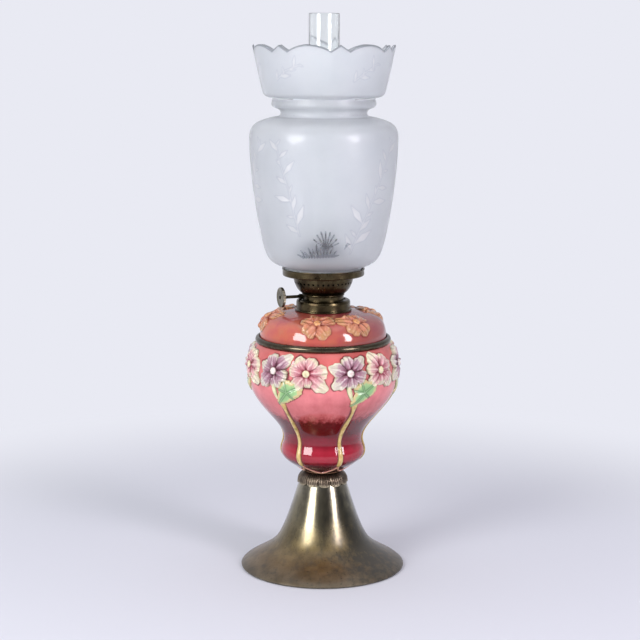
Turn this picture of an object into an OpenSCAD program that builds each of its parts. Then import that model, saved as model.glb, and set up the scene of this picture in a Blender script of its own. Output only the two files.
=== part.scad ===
// Kerosene table lamp: a round-wick burner in a drop-in font, on a relief vase that stands on a spun foot.
// Millimetres, +Z up, origin at the middle of the circle that the foot stands on, the front looking along -Y.

/* [Foot] */
// Diameter of the foot where it stands
foot_d = 170; // [160:1:190]
// Height of the flat neck on which the stand is stacked
foot_h = 92; // [84:1:110]
// Diameter of the foot at its neck
foot_neck_d = 47.6; // [44:0.2:50]
// Diameter where the flare leans at 45 degrees
foot_flare_d = 101; // [92:1:110]
// Height where the flare leans at 45 degrees
foot_flare_h = 26; // [22:1:32]
// Thickness of the spun sheet
foot_wall = 1.4; // [1:0.1:2]
// Height of the upright band at the rim
foot_lip_h = 1.2; // [0.8:0.1:3]
// Width of the flat ring that meets the table
foot_ring_w = 3; // [2:0.5:5]

/* [Leaf collar] */
// Height of the collar above the neck of the foot
collar_h = 10; // [8:0.5:16]
// Diameter of the flat top that carries the vase
collar_top_d = 41; // [38:0.5:42]
// Depth of the leaf skirt below the neck of the foot
collar_drop = 2.5; // [1.5:0.5:5]
// Thickness of the leaf skirt
collar_wall = 1.7; // [1.4:0.1:2.4]
// Number of leaves
leaf_count = 12; // [8:1:16]

/* [Tie rod] */
// Diameter of the tie rod
rod_d = 6; // [5:0.5:8]
// Radial room round the tie rod in the pieces that it draws together
rod_room = 0.3; // [0.2:0.1:0.8]
// Length of rod that shows past each nut
rod_tail = 3; // [2:0.5:6]
// Size of the nuts across their flats
nut_flats = 11; // [10:0.5:14]
// Height of each nut
nut_h = 5; // [4:0.5:7]
// Diameter of the plate washers
washer_d = 34; // [26:1:36]
// Thickness of the plate washers
washer_t = 2; // [1:0.5:3]
// Thickness of the leather washers that cushion the vase
leather_t = 1.2; // [0.8:0.2:3]

/* [Vase] */
// Height of the vase
vase_h = 134; // [126:1:150]
// Diameter of the base of the vase
vase_base_d = 42; // [40:0.5:46]
// Diameter of the lower bulge
vase_bulge_d = 86.4; // [84:0.2:92]
// Height of the lower bulge above the base
vase_bulge_h = 21; // [18:0.5:24]
// Diameter of the waist
vase_waist_d = 81; // [76:0.2:83]
// Height of the waist above the base
vase_waist_h = 34.5; // [32:0.5:40]
// Diameter of the belly
vase_belly_d = 152; // [146:1:160]
// Height of the belly above the base
vase_belly_h = 98; // [92:1:106]
// Diameter of the rim
vase_rim_d = 136; // [134:0.5:140]
// Thickness of the wall
vase_wall = 4.5; // [3.5:0.1:6]

/* [Relief] */
// Number of stems round the vase
stem_count = 6; // [4:1:6]
// Radius of a stem
stem_r = 1.7; // [1.2:0.1:2.2]
// Reach of a petal from the middle of a blossom
blossom_r = 16.4; // [12:0.2:16.6]
// Greatest thickness of a blossom
blossom_t = 2.8; // [1.8:0.1:3.4]
// Height of the blossoms above the base of the vase
blossom_h = 115; // [110:0.5:116]
// Half length of a leaf
leaf_len = 11; // [8:0.5:12]
// Half width of a leaf
leaf_w = 6.5; // [5:0.5:7]
// Pairs of blossoms round the font
font_pairs = 3; // [2:1:3]
// Room between the relief and the glazed wall that it is luted to
lute = 0.35; // [0.3:0.05:0.5]

/* [Rim ring] */
// Radius of the half-round moulding
ring_r = 3.4; // [2.6:0.1:4]
// Thickness of the ledge that carries the font
ring_ledge_t = 1.6; // [1:0.1:2.4]
// Depth of the skirt inside the mouth of the vase
ring_skirt_h = 6; // [4:0.5:9]
// Thickness of the skirt
ring_wall = 1.2; // [0.8:0.1:1.6]
// Room between the skirt and the mouth of the vase
ring_room = 0.4; // [0.3:0.1:0.8]

/* [Font] */
// Diameter of the dome
dome_d = 130; // [128:0.5:130.5]
// Height of the dome above the ledge
dome_h = 31.5; // [26:0.5:36]
// Height of the upright edge of the dome
dome_edge_h = 3; // [2:0.5:5]
// Depth of the bowl below the ledge
bowl_h = 54; // [46:1:60]
// Room between the bowl and the ring that it drops through
bowl_room = 1.4; // [0.8:0.1:3]
// Thickness of the wall
font_wall = 4; // [3:0.1:5]
// Outside diameter of the neck stub
font_neck_d = 45; // [42:0.2:46]
// Gap between the neck stub and the floor of the burner
neck_gap = 0.6; // [0.4:0.1:1]

/* [Burner collar] */
// Outside diameter of the collar
bayonet_d = 55.4; // [54:0.2:60]
// Height of the collar
bayonet_h = 11.5; // [11.5:0.5:18]
// Radius of the rounded shoulder
bayonet_shoulder = 3; // [2:0.5:4]
// Thickness of the sheet
bayonet_wall = 1.2; // [1:0.1:1.6]
// Height from the ledge of the bayonet to the top of the collar
bayonet_recess = 3; // [2:0.5:4]
// Thickness of the bayonet ledge
bayonet_ledge_t = 2; // [1.5:0.1:2.5]
// Number of lugs
lug_count = 3; // [2:1:3]
// Angle that a lug spans
lug_angle = 24; // [16:1:30]
// Turn that frees the lugs
bayonet_turn = 40; // [36:1:50]

/* [Burner] */
// Outside diameter of the burner's neck
burner_d = 41.8; // [40:0.2:43]
// Height of the neck above the bayonet ledge
burner_neck_h = 9; // [8:0.5:14]
// Thickness of the burner's sheet
burner_wall = 1; // [0.8:0.1:1.4]
// Running room between the burner and its collar
burner_room = 0.5; // [0.3:0.1:0.8]
// Height of the pierced basket
basket_h = 18.6; // [16:0.2:24]
// Diameter of the basket under its flange
basket_d = 61.5; // [59:0.5:64]
// Air holes in a row
air_holes = 36; // [24:2:44]
// Diameter of an air hole
air_hole_d = 2; // [1.2:0.1:2.6]
// Outside diameter of the shade gallery
gallery_d = 83.4; // [82.6:0.2:90]
// Height of the gallery wall
gallery_h = 7.4; // [6:0.2:12]
// Number of tabs that steady the shade
tab_count = 4; // [3:1:6]
// Number of prongs that hold the chimney
prong_count = 8; // [6:1:10]
// Height of the prongs
prong_h = 15; // [10:0.5:22]

/* [Wick and winder] */
// Outside diameter of the outer wick tube
tube_d = 31.6; // [31:0.2:34]
// Height of the wick tube above the bayonet ledge
tube_h = 66; // [60:1:72]
// Thickness of the wick tubes
tube_wall = 0.6; // [0.4:0.1:0.9]
// Thickness of the wick
wick_t = 2.6; // [2:0.1:3]
// Room on each side of the wick
wick_room = 0.4; // [0.3:0.05:0.5]
// Length of wick that shows above its tube
wick_show = 1.5; // [0:0.5:3]
// Travel of the wick below its shown height
wick_down = 12; // [8:0.5:14]
// Room under the wick when it is wound right down
wick_foot_room = 2; // [1:0.5:20]
// Height of the web that joins the two wick tubes
web_h = 12; // [8:0.5:14]
// Length of the outer wick tube below the burner's floor
tube_tail = 10; // [6:0.5:14]
// Angle of the slit in the wick
wick_slit = 56; // [50:1:64]
// Direction of the winder from the +X axis
winder_azimuth = 202; // [190:1:220]
// Height of the spindle above the bayonet ledge
spindle_h = 5.6; // [5.2:0.1:6]
// Diameter of the spindle
spindle_d = 3.2; // [2.4:0.1:3.4]
// Running room of the spindle in its bearings
spindle_room = 0.06; // [0.02:0.01:0.1]
// Radius of the toothed wheels at their tips
wheel_r = 3.8; // [3.2:0.1:4]
// Number of teeth on a wheel
wheel_teeth = 12; // [9:1:16]
// Diameter of the winder knob
knob_d = 20.6; // [18:0.2:24]
// Thickness of the winder knob
knob_t = 2.8; // [2:0.1:4]
// Distance of the knob from the burner's axis
knob_reach = 43; // [40:0.5:52]

/* [Chimney] */
// Outside diameter at the seat
chimney_d = 52; // [50:0.2:53]
// Outside diameter of the upper tube
flue_d = 31; // [30:0.2:36]
// Outside diameter of the throat above the wick
throat_d = 29; // [27:0.2:30]
// Overall height of the chimney
chimney_h = 261; // [250:1:300]
// Height of the throat above the seat
throat_h = 62; // [58:1:70]
// Thickness of the glass
chimney_wall = 2; // [1.4:0.1:2.4]

/* [Shade] */
// Overall height of the shade
shade_h = 230; // [224:1:248]
// Room between the gallery wall and the fitter that stands in it
fitter_gap = 1.5; // [1.2:0.1:2.4]
// Height of the fitter
fitter_h = 7.4; // [7:0.1:10]
// Diameter low on the body
shade_low_d = 116; // [108:1:122]
// Height of that place above the bottom
shade_low_h = 21; // [19:0.5:25]
// Diameter at the shoulder
shoulder_d = 150.4; // [140:1:160]
// Height of the neck above the shoulder
shoulder_drop = 25; // [20:0.5:34]
// Diameter at the neck
shade_neck_d = 87; // [82:1:92]
// Height of the neck
shade_neck_h = 163; // [160:0.5:166]
// Diameter of the bead above the neck
bead_d = 105.6; // [102:0.2:108]
// Height of the bead above the neck
bead_h = 9.4; // [8:0.2:10]
// Height of the groove above the bead
groove_h = 6; // [4.4:0.2:7]
// Diameter at the foot of the crown
crown_foot_d = 124; // [118:1:130]
// Height of the foot of the crown above the groove
crown_rise = 6.6; // [4.6:0.2:9]
// Diameter at the rim
crown_d = 143.6; // [136:0.2:152]
// Number of large scallops round the rim
scallops = 7; // [6:1:9]
// Depth of the scallops
scallop_depth = 6.4; // [4:0.2:9]
// Share of each repeat that the large scallop takes
scallop_share = 0.7; // [0.6:0.01:0.8]
// Direction of the first large scallop
scallop_azimuth = 257.5; // [240:0.1:290]
// Thickness of the glass
shade_wall = 2.4; // [1.8:0.1:2.8]

/* [Hidden] */
$fn = 96;
tie_r = rod_d / 2 + rod_room;
// Small overlap that lets a cutter pass right through
eps = 0.5;
// Steps in each stretch of a curved outline
steps = 9;

// Heights of the stack, from the table upwards
collar_top = foot_h + collar_h;
vase_z = collar_top + leather_t;
vase_floor_t = vase_wall + 1;
vase_floor = vase_z + vase_floor_t;
vase_top = vase_z + vase_h;
ledge_top = vase_top + ring_ledge_t;
dome_top = ledge_top + dome_h;
bayonet_top = dome_top + bayonet_h;
seat_z = bayonet_top - bayonet_recess;
lug_gap = 0.4;
lug_h = 2;
lug_top = seat_z - bayonet_ledge_t - lug_gap;
// Length of the burner's neck below its lugs
body_tail = 2;
body_low = lug_top - lug_h - body_tail;
neck_top = seat_z + burner_neck_h;
basket_top = neck_top + basket_h;
gallery_t = 1.2;
gallery_floor = basket_top + gallery_t;
holder_t = 1;
chimney_z = gallery_floor + holder_t;
spindle_z = seat_z + spindle_h;
tube_top = seat_z + tube_h;

// Headings are degrees from the outward direction; reach is a share of the distance between the ends
function curve(a, heading_a, reach_a, b, heading_b, reach_b, n = steps) =
    let (span = norm(b - a),
         p = a + reach_a * span * [cos(heading_a), sin(heading_a)],
         q = b - reach_b * span * [cos(heading_b), sin(heading_b)])
    [for (i = [0:n]) let (t = i / n, u = 1 - t)
        u * u * u * a + 3 * u * u * t * p + 3 * u * t * t * q + t * t * t * b];

// Stretches that share their end points become one line of points
function join(stretches) =
    [for (k = [0:len(stretches) - 1]) for (i = [k == 0 ? 0 : 1:len(stretches[k]) - 1]) stretches[k][i]];

function tangent(p, i) =
    let (d = p[min(i + 1, len(p) - 1)] - p[max(i - 1, 0)]) d / norm(d);

// The line moved sideways by d, to the left of its direction
function inset(p, d) = [for (i = [0:len(p) - 1]) let (t = tangent(p, i)) p[i] + d * [-t.y, t.x]];

function reverse(p) = [for (i = [len(p) - 1:-1:0]) p[i]];

module turned(points) {
    rotate_extrude() polygon(points);
}

module tube(outer_r, inner_r, low, high) {
    rotate_extrude() translate([inner_r, low]) square([outer_r - inner_r, high - low]);
}

module sector(outer_r, inner_r, low, high, middle, angle) {
    rotate([0, 0, middle - angle / 2])
        rotate_extrude(angle = angle) translate([inner_r, low]) square([outer_r - inner_r, high - low]);
}

module around(count, first = 0) {
    for (i = [0:count - 1]) rotate([0, 0, first + i * 360 / count]) children();
}

// Foot

foot_lip = [foot_d / 2, foot_lip_h];
foot_flare = [foot_flare_d / 2, foot_flare_h];
foot_neck = [foot_neck_d / 2, foot_h];
foot_line = join([
    curve(foot_lip, 124, 0.16, foot_flare, 135, 0.41),
    curve(foot_flare, 135, 0.22, foot_neck, 109.5, 0.25)]);

module trumpet_foot() {
    inside = [for (p = inset(foot_line, foot_wall))
        if (p.x < foot_d / 2 - foot_ring_w && p.y < foot_h - foot_wall) p];
    color("#6f6a52")
        turned(concat(
            [[foot_d / 2 - foot_ring_w, 0], [foot_d / 2, 0]], foot_line,
            [[tie_r, foot_h], [tie_r, foot_h - foot_wall], [foot_neck_d / 2 - foot_wall, foot_h - foot_wall]],
            reverse(inside)));
}

// Leaf collar, a hollow casting whose skirt of leaves hangs over the neck of the foot

collar_room = 0.5;
collar_skirt_r = foot_neck_d / 2 + collar_room + collar_wall;
collar_widest = [collar_skirt_r + collar_drop * 0.4, foot_h];
collar_hub_r = tie_r + 6;
collar_line = join([
    [[collar_widest.x - 0.3, foot_h - collar_drop], collar_widest],
    curve(collar_widest, 96, 0.35, [collar_top_d / 2, collar_top], 150, 0.4)]);
leaf_groove_r = 0.9;
leaf_notch_r = 2.2;

module leaf_collar() {
    inside = [for (p = inset(collar_line, collar_wall)) if (p.y < collar_top - collar_wall) p];
    lean = atan2(collar_widest.x - collar_top_d / 2, collar_h);
    color("#75695a")
        difference() {
            turned(concat(collar_line,
                [[tie_r, collar_top], [tie_r, foot_h], [collar_hub_r, foot_h],
                 [collar_hub_r, collar_top - collar_wall]],
                reverse(inside)));
            // Notches between the leaf tips, then the grooves that part the leaves and mark their ribs
            around(leaf_count)
                translate([collar_widest.x + leaf_notch_r / 3, 0, foot_h - collar_drop - eps])
                    cylinder(h = collar_drop, r = leaf_notch_r);
            around(leaf_count * 2)
                translate([collar_widest.x + leaf_groove_r * 0.5, 0, foot_h - eps])
                    rotate([0, -lean, 0]) cylinder(h = collar_h * 0.9, r = leaf_groove_r);
        }
}

// Tie rod and the pieces that it clamps

washer_z = foot_h - foot_wall - washer_t;
lower_nut_z = washer_z - nut_h;
inner_leather_z = vase_floor;
vase_washer_z = inner_leather_z + leather_t;
upper_nut_z = vase_washer_z + washer_t;
rod_low = lower_nut_z - rod_tail;
rod_high = upper_nut_z + nut_h + rod_tail;
thread_room = 0.05;

module tie_rod() {
    color("#8d8b86") translate([0, 0, rod_low]) cylinder(h = rod_high - rod_low, r = rod_d / 2);
}

module nut(z) {
    translate([0, 0, z])
        difference() {
            cylinder(h = nut_h, r = nut_flats / 2 / cos(30), $fn = 6);
            translate([0, 0, -eps]) cylinder(h = nut_h + 2 * eps, r = rod_d / 2 + thread_room, $fn = 48);
        }
}

module tie_rod_nuts() {
    color("#8a7a4c") for (z = [lower_nut_z, upper_nut_z]) nut(z);
}

module foot_washer() {
    color("#8a7a4c") tube(washer_d / 2, tie_r, washer_z, washer_z + washer_t);
}

module vase_washer() {
    color("#8a7a4c") tube(washer_d / 2, tie_r, vase_washer_z, vase_washer_z + washer_t);
}

module leather_washers() {
    color("#6b4a32") {
        tube(collar_top_d / 2 - 1, tie_r, collar_top, vase_z);
        tube(washer_d / 2, tie_r, inner_leather_z, vase_washer_z);
    }
}

// Vase

vase_base = [vase_base_d / 2, vase_z];
vase_bulge = [vase_bulge_d / 2, vase_z + vase_bulge_h];
vase_waist = [vase_waist_d / 2, vase_z + vase_waist_h];
vase_belly = [vase_belly_d / 2, vase_z + vase_belly_h];
vase_rim = [vase_rim_d / 2, vase_top];
vase_line = join([
    curve(vase_base, 34, 0.42, vase_bulge, 90, 0.3),
    curve(vase_bulge, 90, 0.36, vase_waist, 90, 0.36),
    curve(vase_waist, 90, 0.25, vase_belly, 90, 0.37),
    curve(vase_belly, 90, 0.3, vase_rim, 138, 0.35)]);

module vase() {
    inside = [for (p = inset(vase_line, vase_wall)) if (p.y > vase_floor && p.y < vase_top) p];
    color("#c04a55")
        turned(concat(vase_line,
            [[vase_rim_d / 2 - vase_wall, vase_top]], reverse(inside),
            [[inside[0].x, vase_floor], [tie_r, vase_floor], [tie_r, vase_z]]));
}

// Relief: sprigs are laid on a turned wall, measured along its outline and round its girth

function run_length(p) =
    [for (i = 0, s = 0; i < len(p); s = s + norm(p[min(i + 1, len(p) - 1)] - p[i]), i = i + 1) s];

// Tables that give radius, height and the outward normal for a distance along the outline
function wall(p) =
    let (s = run_length(p), out = inset(p, -1))
    [[for (i = [0:len(p) - 1]) [s[i], p[i].x]], [for (i = [0:len(p) - 1]) [s[i], p[i].y]],
     [for (i = [0:len(p) - 1]) [s[i], out[i].x - p[i].x]],
     [for (i = [0:len(p) - 1]) [s[i], out[i].y - p[i].y]]];

// A point at a place along and round the wall, raised by h above it
function on_wall(w, azimuth, girth, s, h) =
    let (r = lookup(s, w[0]), q = azimuth + girth / r * 180 / PI, d = r + h * lookup(s, w[2]))
    [d * cos(q), d * sin(q), lookup(s, w[1]) + h * lookup(s, w[3])];

// Distance along the outline at which the wall first reaches a height
function along_to(p, z) =
    let (s = run_length(p)) lookup(z, [for (i = [0:len(p) - 1]) [p[i].y, s[i]]]);

vase_wall_map = wall(vase_line);

// A raised shape whose outline is a list of reaches; shares and heights run from its middle to its edge
module sprig(w, azimuth, s, reaches, shares, heights) {
    n = len(reaches);
    m = len(shares);
    function layer(raised) = concat(
        [on_wall(w, azimuth, 0, s, lute + (raised ? heights[0] : 0))],
        [for (j = [0:m - 1]) for (i = [0:n - 1]) let (a = i * 360 / n, r = reaches[i] * shares[j])
            on_wall(w, azimuth, r * cos(a), s + r * sin(a), lute + (raised ? heights[j + 1] : 0))]);
    function at(j, i) = 1 + j * n + i % n;
    top_faces = concat(
        [for (i = [0:n - 1]) [0, at(0, i + 1), at(0, i)]],
        [for (j = [0:m - 2]) for (i = [0:n - 1]) each
            [[at(j, i), at(j, i + 1), at(j + 1, i)], [at(j, i + 1), at(j + 1, i + 1), at(j + 1, i)]]]);
    under = 1 + m * n;
    under_faces = [for (f = top_faces) [f[0] + under, f[2] + under, f[1] + under]];
    edge_faces = [for (i = [0:n - 1]) each
        [[at(m - 1, i), at(m - 1, i + 1), under + at(m - 1, i)],
         [at(m - 1, i + 1), under + at(m - 1, i + 1), under + at(m - 1, i)]]];
    polyhedron(concat(layer(true), layer(false)), concat(top_faces, under_faces, edge_faces));
}

petals = 5;
petal_cleft = 0.6;

// Five rounded petals about a raised button
module blossom(w, azimuth, s, turn) {
    n = petals * 6;
    reaches = [for (i = [0:n - 1]) let (a = i * 360 / n - turn)
        blossom_r * (petal_cleft + (1 - petal_cleft) * sqrt(abs(cos(a * petals / 2))))];
    sprig(w, azimuth, s, reaches, [0.25, 0.5, 0.75, 1],
          blossom_t * [1, 0.85, 0.85, 0.75, 0.35]);
}

module leaf(w, azimuth, s, turn) {
    n = 16;
    reaches = [for (i = [0:n - 1]) let (a = i * 360 / n - turn)
        1 / norm([cos(a) / leaf_len, sin(a) / leaf_w])];
    sprig(w, azimuth, s, reaches, [0.5, 1], blossom_t * [0.8, 0.7, 0.3]);
}

// A round stem along a route of [azimuth, distance along the outline]
module stem(w, route, r) {
    n = 6;
    last = len(route) - 1;
    rings = [for (i = [0:last])
        let (a = route[max(i - 1, 0)], b = route[min(i + 1, last)],
             run = [(b.x - a.x) * PI / 180 * lookup(route[i].y, w[0]), b.y - a.y],
             side = [-run.y, run.x] / norm(run))
        each [for (k = [0:n - 1]) let (q = k * 360 / n + 30)
            on_wall(w, route[i].x, r * cos(q) * side.x, route[i].y + r * cos(q) * side.y,
                    lute + r * (1 + sin(q)))]];
    function at(i, k) = i * n + k % n;
    sides = [for (i = [0:last - 1]) for (k = [0:n - 1]) each
        [[at(i, k), at(i, k + 1), at(i + 1, k)], [at(i, k + 1), at(i + 1, k + 1), at(i + 1, k)]]];
    ends = concat(
        [for (k = [1:n - 2]) [at(0, 0), at(0, k + 1), at(0, k)]],
        [for (k = [1:n - 2]) [at(last, 0), at(last, k), at(last, k + 1)]]);
    polyhedron(rings, concat(sides, ends));
}

first_stem = 240;
stem_step = 360 / stem_count;
stem_azimuths = [for (i = [0:stem_count - 1]) first_stem + i * stem_step];
blossom_s = along_to(vase_line, vase_z + blossom_h);
leaf_s = blossom_s - blossom_r - leaf_len * 0.62;
stem_top_s = leaf_s - leaf_len - 1;
stem_low_s = along_to(vase_line, vase_z + vase_bulge_h * 0.5);
vine_low_s = along_to(vase_line, vase_z) + 4.5;
// Azimuths of the two blossoms and the leaf from the stem that bears them
pair_left = -8;
pair_right = 18.5;
leaf_side = 6;

module blossom_sprigs() {
    color("#d9b9b4")
        for (a = stem_azimuths) {
            blossom(vase_wall_map, a + pair_left, blossom_s, 80);
            blossom(vase_wall_map, a + pair_right, blossom_s, 116);
        }
}

module leaf_sprigs() {
    color("#8fb98a") for (a = stem_azimuths) leaf(vase_wall_map, a + leaf_side, leaf_s, 62);
}

module stem_sprigs() {
    rise = 18;
    sweep = 10;
    vine_r = stem_r * 0.75;
    vine_edge = (stem_r + vine_r + 0.8) * 360 / PI / vase_bulge_d;
    color("#c9b96a")
        for (a = stem_azimuths) {
            stem(vase_wall_map,
                 [for (i = [0:rise]) [a, stem_top_s + (stem_low_s - stem_top_s) * i / rise]], stem_r);
            // The vine that closes the foot of each panel, from one stem down and up to the next
            stem(vase_wall_map,
                 [for (i = [0:sweep]) let (t = i / sweep)
                    [a + vine_edge + (stem_step - 2 * vine_edge) * t,
                     vine_low_s + (stem_low_s - vine_low_s) * pow(abs(2 * t - 1), 1.6)]], vine_r);
        }
}

// Rim ring, clipped over the mouth of the vase to carry the font

ring_bead_x = vase_rim_d / 2 - ring_r / 2;
ring_bead_z = vase_top + ring_r;
ring_inner_r = vase_rim_d / 2 - vase_wall - ring_room - ring_wall;

module rim_ring() {
    color("#5f5c4e")
        rotate_extrude() {
            intersection() {
                translate([ring_bead_x, ring_bead_z]) circle(r = ring_r);
                translate([ring_bead_x, vase_top]) square([2 * ring_r, 2 * ring_r]);
            }
            translate([ring_inner_r, vase_top])
                square([ring_bead_x + ring_r / 2 - ring_inner_r, ring_ledge_t]);
            translate([ring_inner_r, vase_top - ring_skirt_h])
                square([ring_wall, ring_skirt_h + ring_ledge_t]);
        }
}

// Dome of the font: it rests on the ledge of the ring, and its neck takes the burner collar

dome_edge = [dome_d / 2, ledge_top + dome_edge_h];
font_collar_flange = 1.5;
dome_crest = [bayonet_d / 2 - font_collar_flange, dome_top];
// Twice the steps, so that the blossoms lie close on its tight shoulder
dome_line = curve(dome_edge, 90, 0.55, dome_crest, 172, 0.5, 2 * steps);
bowl_r = ring_inner_r - bowl_room;
bowl_base = [bowl_r * 0.42, ledge_top - bowl_h];
bowl_line = curve(bowl_base, 8, 0.5, [bowl_r, ledge_top - bowl_h * 0.3], 90, 0.45);
font_neck_r = font_neck_d / 2;
font_neck_top = body_low - neck_gap;
font_bore_r = font_neck_r - font_wall * 0.8;

module oil_font() {
    dome_inside = [for (p = inset(dome_line, font_wall)) if (p.x < dome_edge.x - font_wall) p];
    color("#b8584a")
        turned(concat(
            [[bowl_r - font_wall, ledge_top], [dome_d / 2, ledge_top]], dome_line,
            [[font_neck_r, dome_top], [font_neck_r, font_neck_top], [font_bore_r, font_neck_top]],
            [[font_bore_r, dome_top - font_wall]], reverse(dome_inside),
            [[bowl_r - font_wall, ledge_top + font_wall]]));
}

// Bowl of the font: the reservoir, thrown on its own and luted to the underside of the dome

module font_bowl() {
    bowl_inside = [for (p = inset(bowl_line, font_wall)) if (p.y > bowl_base.y + font_wall) p];
    color("#a8503f")
        turned(concat(
            [[0, bowl_base.y]], bowl_line, [[bowl_r, ledge_top], [bowl_r - font_wall, ledge_top]],
            reverse(bowl_inside), [[0, bowl_base.y + font_wall]]));
}

dome_wall_map = wall(dome_line);
font_blossom_s = run_length(dome_line)[2 * steps] * 0.46;
font_pair_azimuth = 285;
font_pair_half = 21;

module font_blossoms() {
    color("#c98a63")
        for (i = [0:font_pairs - 1], side = [-1, 1])
            blossom(dome_wall_map, font_pair_azimuth + i * 360 / font_pairs + side * font_pair_half,
                    font_blossom_s, 90 + 18 * side);
}

// Bayonet collar, cemented on the neck of the font

collar_in_r = bayonet_d / 2 - bayonet_wall;
burner_r = burner_d / 2;
seat_r = burner_r + burner_room;
bead_r = burner_r + 1.5;
mouth_r = bead_r + burner_room;
lug_r = burner_r + 2.5;
flange_h = 1.6;

module font_collar() {
    shoulder = [for (i = [0:steps]) let (a = i * 90 / steps)
        [bayonet_d / 2 - bayonet_shoulder * (1 - cos(a)), bayonet_top - bayonet_shoulder * (1 - sin(a))]];
    color("#6a6350")
        difference() {
            turned(concat(
                [[bayonet_d / 2 + font_collar_flange, dome_top],
                 [bayonet_d / 2 + font_collar_flange, dome_top + flange_h],
                 [bayonet_d / 2, dome_top + flange_h]],
                shoulder,
                [[mouth_r, bayonet_top], [mouth_r, seat_z], [seat_r, seat_z],
                 [seat_r, seat_z - bayonet_ledge_t],
                 [collar_in_r, seat_z - bayonet_ledge_t], [collar_in_r, dome_top]]));
            // Gaps in the ledge that let the lugs pass once the burner is turned
            for (i = [0:lug_count - 1])
                sector(lug_r + burner_room, seat_r - eps, seat_z - bayonet_ledge_t - eps, seat_z + eps,
                       i * 360 / lug_count + bayonet_turn, lug_angle + 4);
        }
}

module collar_plaster() {
    color("#d8d2c4")
        tube(collar_in_r, font_neck_r, dome_top, font_neck_top);
}

// Burner body: a bored neck with a floor, a seating bead and bayonet lugs

tube_r = tube_d / 2;
solder = 0.05;
seat_bead_h = 2.2;
top_bead_h = 1.8;
sleeve_r = spindle_d / 2 + 1;
wick_out_r = tube_r - tube_wall - wick_room;
wick_in_r = wick_out_r - wick_t;
wheel_half = 3;
wheel_t = 1.2;
wheel_room = 0.15;
// The spindle runs beside the axis, so that its wheels reach the inner face of the wick
spindle_side = sqrt(pow(wick_in_r, 2) - pow(wheel_half + wheel_t / 2, 2)) - wheel_r - wheel_room;

// Things that belong to the winder are drawn along +X and turned to its direction
module along_winder() {
    rotate([0, 0, winder_azimuth]) translate([0, -spindle_side, spindle_z]) rotate([0, 90, 0]) children();
}

module burner_body() {
    color("#6a6350")
        difference() {
            union() {
                turned([
                    [burner_r - burner_wall, body_low], [burner_r, body_low], [burner_r, seat_z],
                    [bead_r - 0.6, seat_z], [bead_r, seat_z + seat_bead_h * 0.5],
                    [bead_r - 0.6, seat_z + seat_bead_h], [burner_r, seat_z + seat_bead_h],
                    [burner_r, neck_top - top_bead_h], [burner_r + 0.7, neck_top - top_bead_h * 0.7],
                    [burner_r + 0.7, neck_top - top_bead_h * 0.3], [burner_r, neck_top],
                    [burner_r - burner_wall, neck_top]]);
                tube(burner_r - burner_wall / 2, tube_r + solder, body_low, body_low + burner_wall);
                for (i = [0:lug_count - 1])
                    sector(lug_r, burner_r - burner_wall / 2, lug_top - lug_h, lug_top,
                           i * 360 / lug_count, lug_angle);
            }
            along_winder() cylinder(h = burner_r + eps * 4, r = sleeve_r + solder);
        }
}

// Pierced basket

basket_r = basket_d / 2;
basket_flange_r = basket_r + 4.5;
// Flat bands: a plain foot, the band that is pierced, and an upright top
basket_line = [[burner_r, neck_top], [burner_r + 3.2, neck_top + basket_h * 0.22],
    [basket_r - 1.6, neck_top + basket_h * 0.66], [basket_r, basket_top - 2.4],
    [basket_r + 0.8, basket_top - gallery_t]];
air_row_z = neck_top + basket_h * 0.46;

module air_holes_at(z, d, first) {
    around(air_holes, first)
        translate([burner_r, 0, z])
            rotate([0, 90, 0]) cylinder(h = basket_r - burner_r + 1, r = d / 2, $fn = 24);
}

module air_basket() {
    inside = [for (p = inset(basket_line, burner_wall))
        if (p.y > neck_top && p.y < basket_top - gallery_t) p];
    color("#574c3c")
        difference() {
            turned(concat(basket_line,
                [[basket_flange_r, basket_top - gallery_t], [basket_flange_r, basket_top],
                 [basket_r - burner_wall, basket_top]],
                reverse(inside), [[burner_r - burner_wall, neck_top]]));
            air_holes_at(air_row_z, air_hole_d, 0);
        }
}

// Shade gallery: a tray whose upright wall, with tabs pressed inwards, holds the fitter of the shade

gallery_r = gallery_d / 2;
gallery_lip = 0.6;
tab_azimuth = 262;
tab_half = 2.6;
tab_h = 4;
tab_reach = fitter_gap - 0.4;
holder_r = chimney_d / 2 + 0.5;
prong_t = 0.8;
holder_plate_r = holder_r + prong_t + 4;
gallery_in_r = holder_r - 0.6;

module shade_gallery() {
    wall_top = basket_top + gallery_h;
    color("#5e5742") {
        turned([
            [gallery_in_r, basket_top], [gallery_r - 1, basket_top], [gallery_r, basket_top + 1],
            [gallery_r, wall_top - 1.2], [gallery_r + gallery_lip, wall_top - 0.6], [gallery_r, wall_top],
            [gallery_r - gallery_t, wall_top], [gallery_r - gallery_t, gallery_floor],
            [gallery_in_r, gallery_floor]]);
        // Each tab is a small wedge struck from the wall towards the glass
        around(tab_count, tab_azimuth)
            translate([gallery_r - gallery_t + 0.2, tab_half, gallery_floor + 1])
                rotate([90, 0, 0])
                    linear_extrude(2 * tab_half)
                        polygon([[0, 0], [-tab_reach - 0.2, tab_h / 2], [0, tab_h]]);
    }
}

// Chimney holder: a ring with upright spring prongs

module chimney_holder() {
    prong_angle = 360 / prong_count * 0.55;
    color("#5e5742") {
        tube(holder_plate_r, chimney_d / 2 - chimney_wall * 0.7, gallery_floor, chimney_z);
        for (i = [0:prong_count - 1])
            rotate([0, 0, i * 360 / prong_count])
                rotate_extrude(angle = prong_angle)
                    polygon([
                        [holder_r, chimney_z - holder_t / 2], [holder_r + prong_t, chimney_z - holder_t / 2],
                        [holder_r + prong_t, chimney_z + prong_h * 0.7],
                        [holder_r + prong_t * 2, chimney_z + prong_h],
                        [holder_r + prong_t, chimney_z + prong_h], [holder_r, chimney_z + prong_h * 0.7]]);
    }
}

// Wick tubes and wick: the wick is a sleeve that is open along a slit on the winder's side

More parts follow.
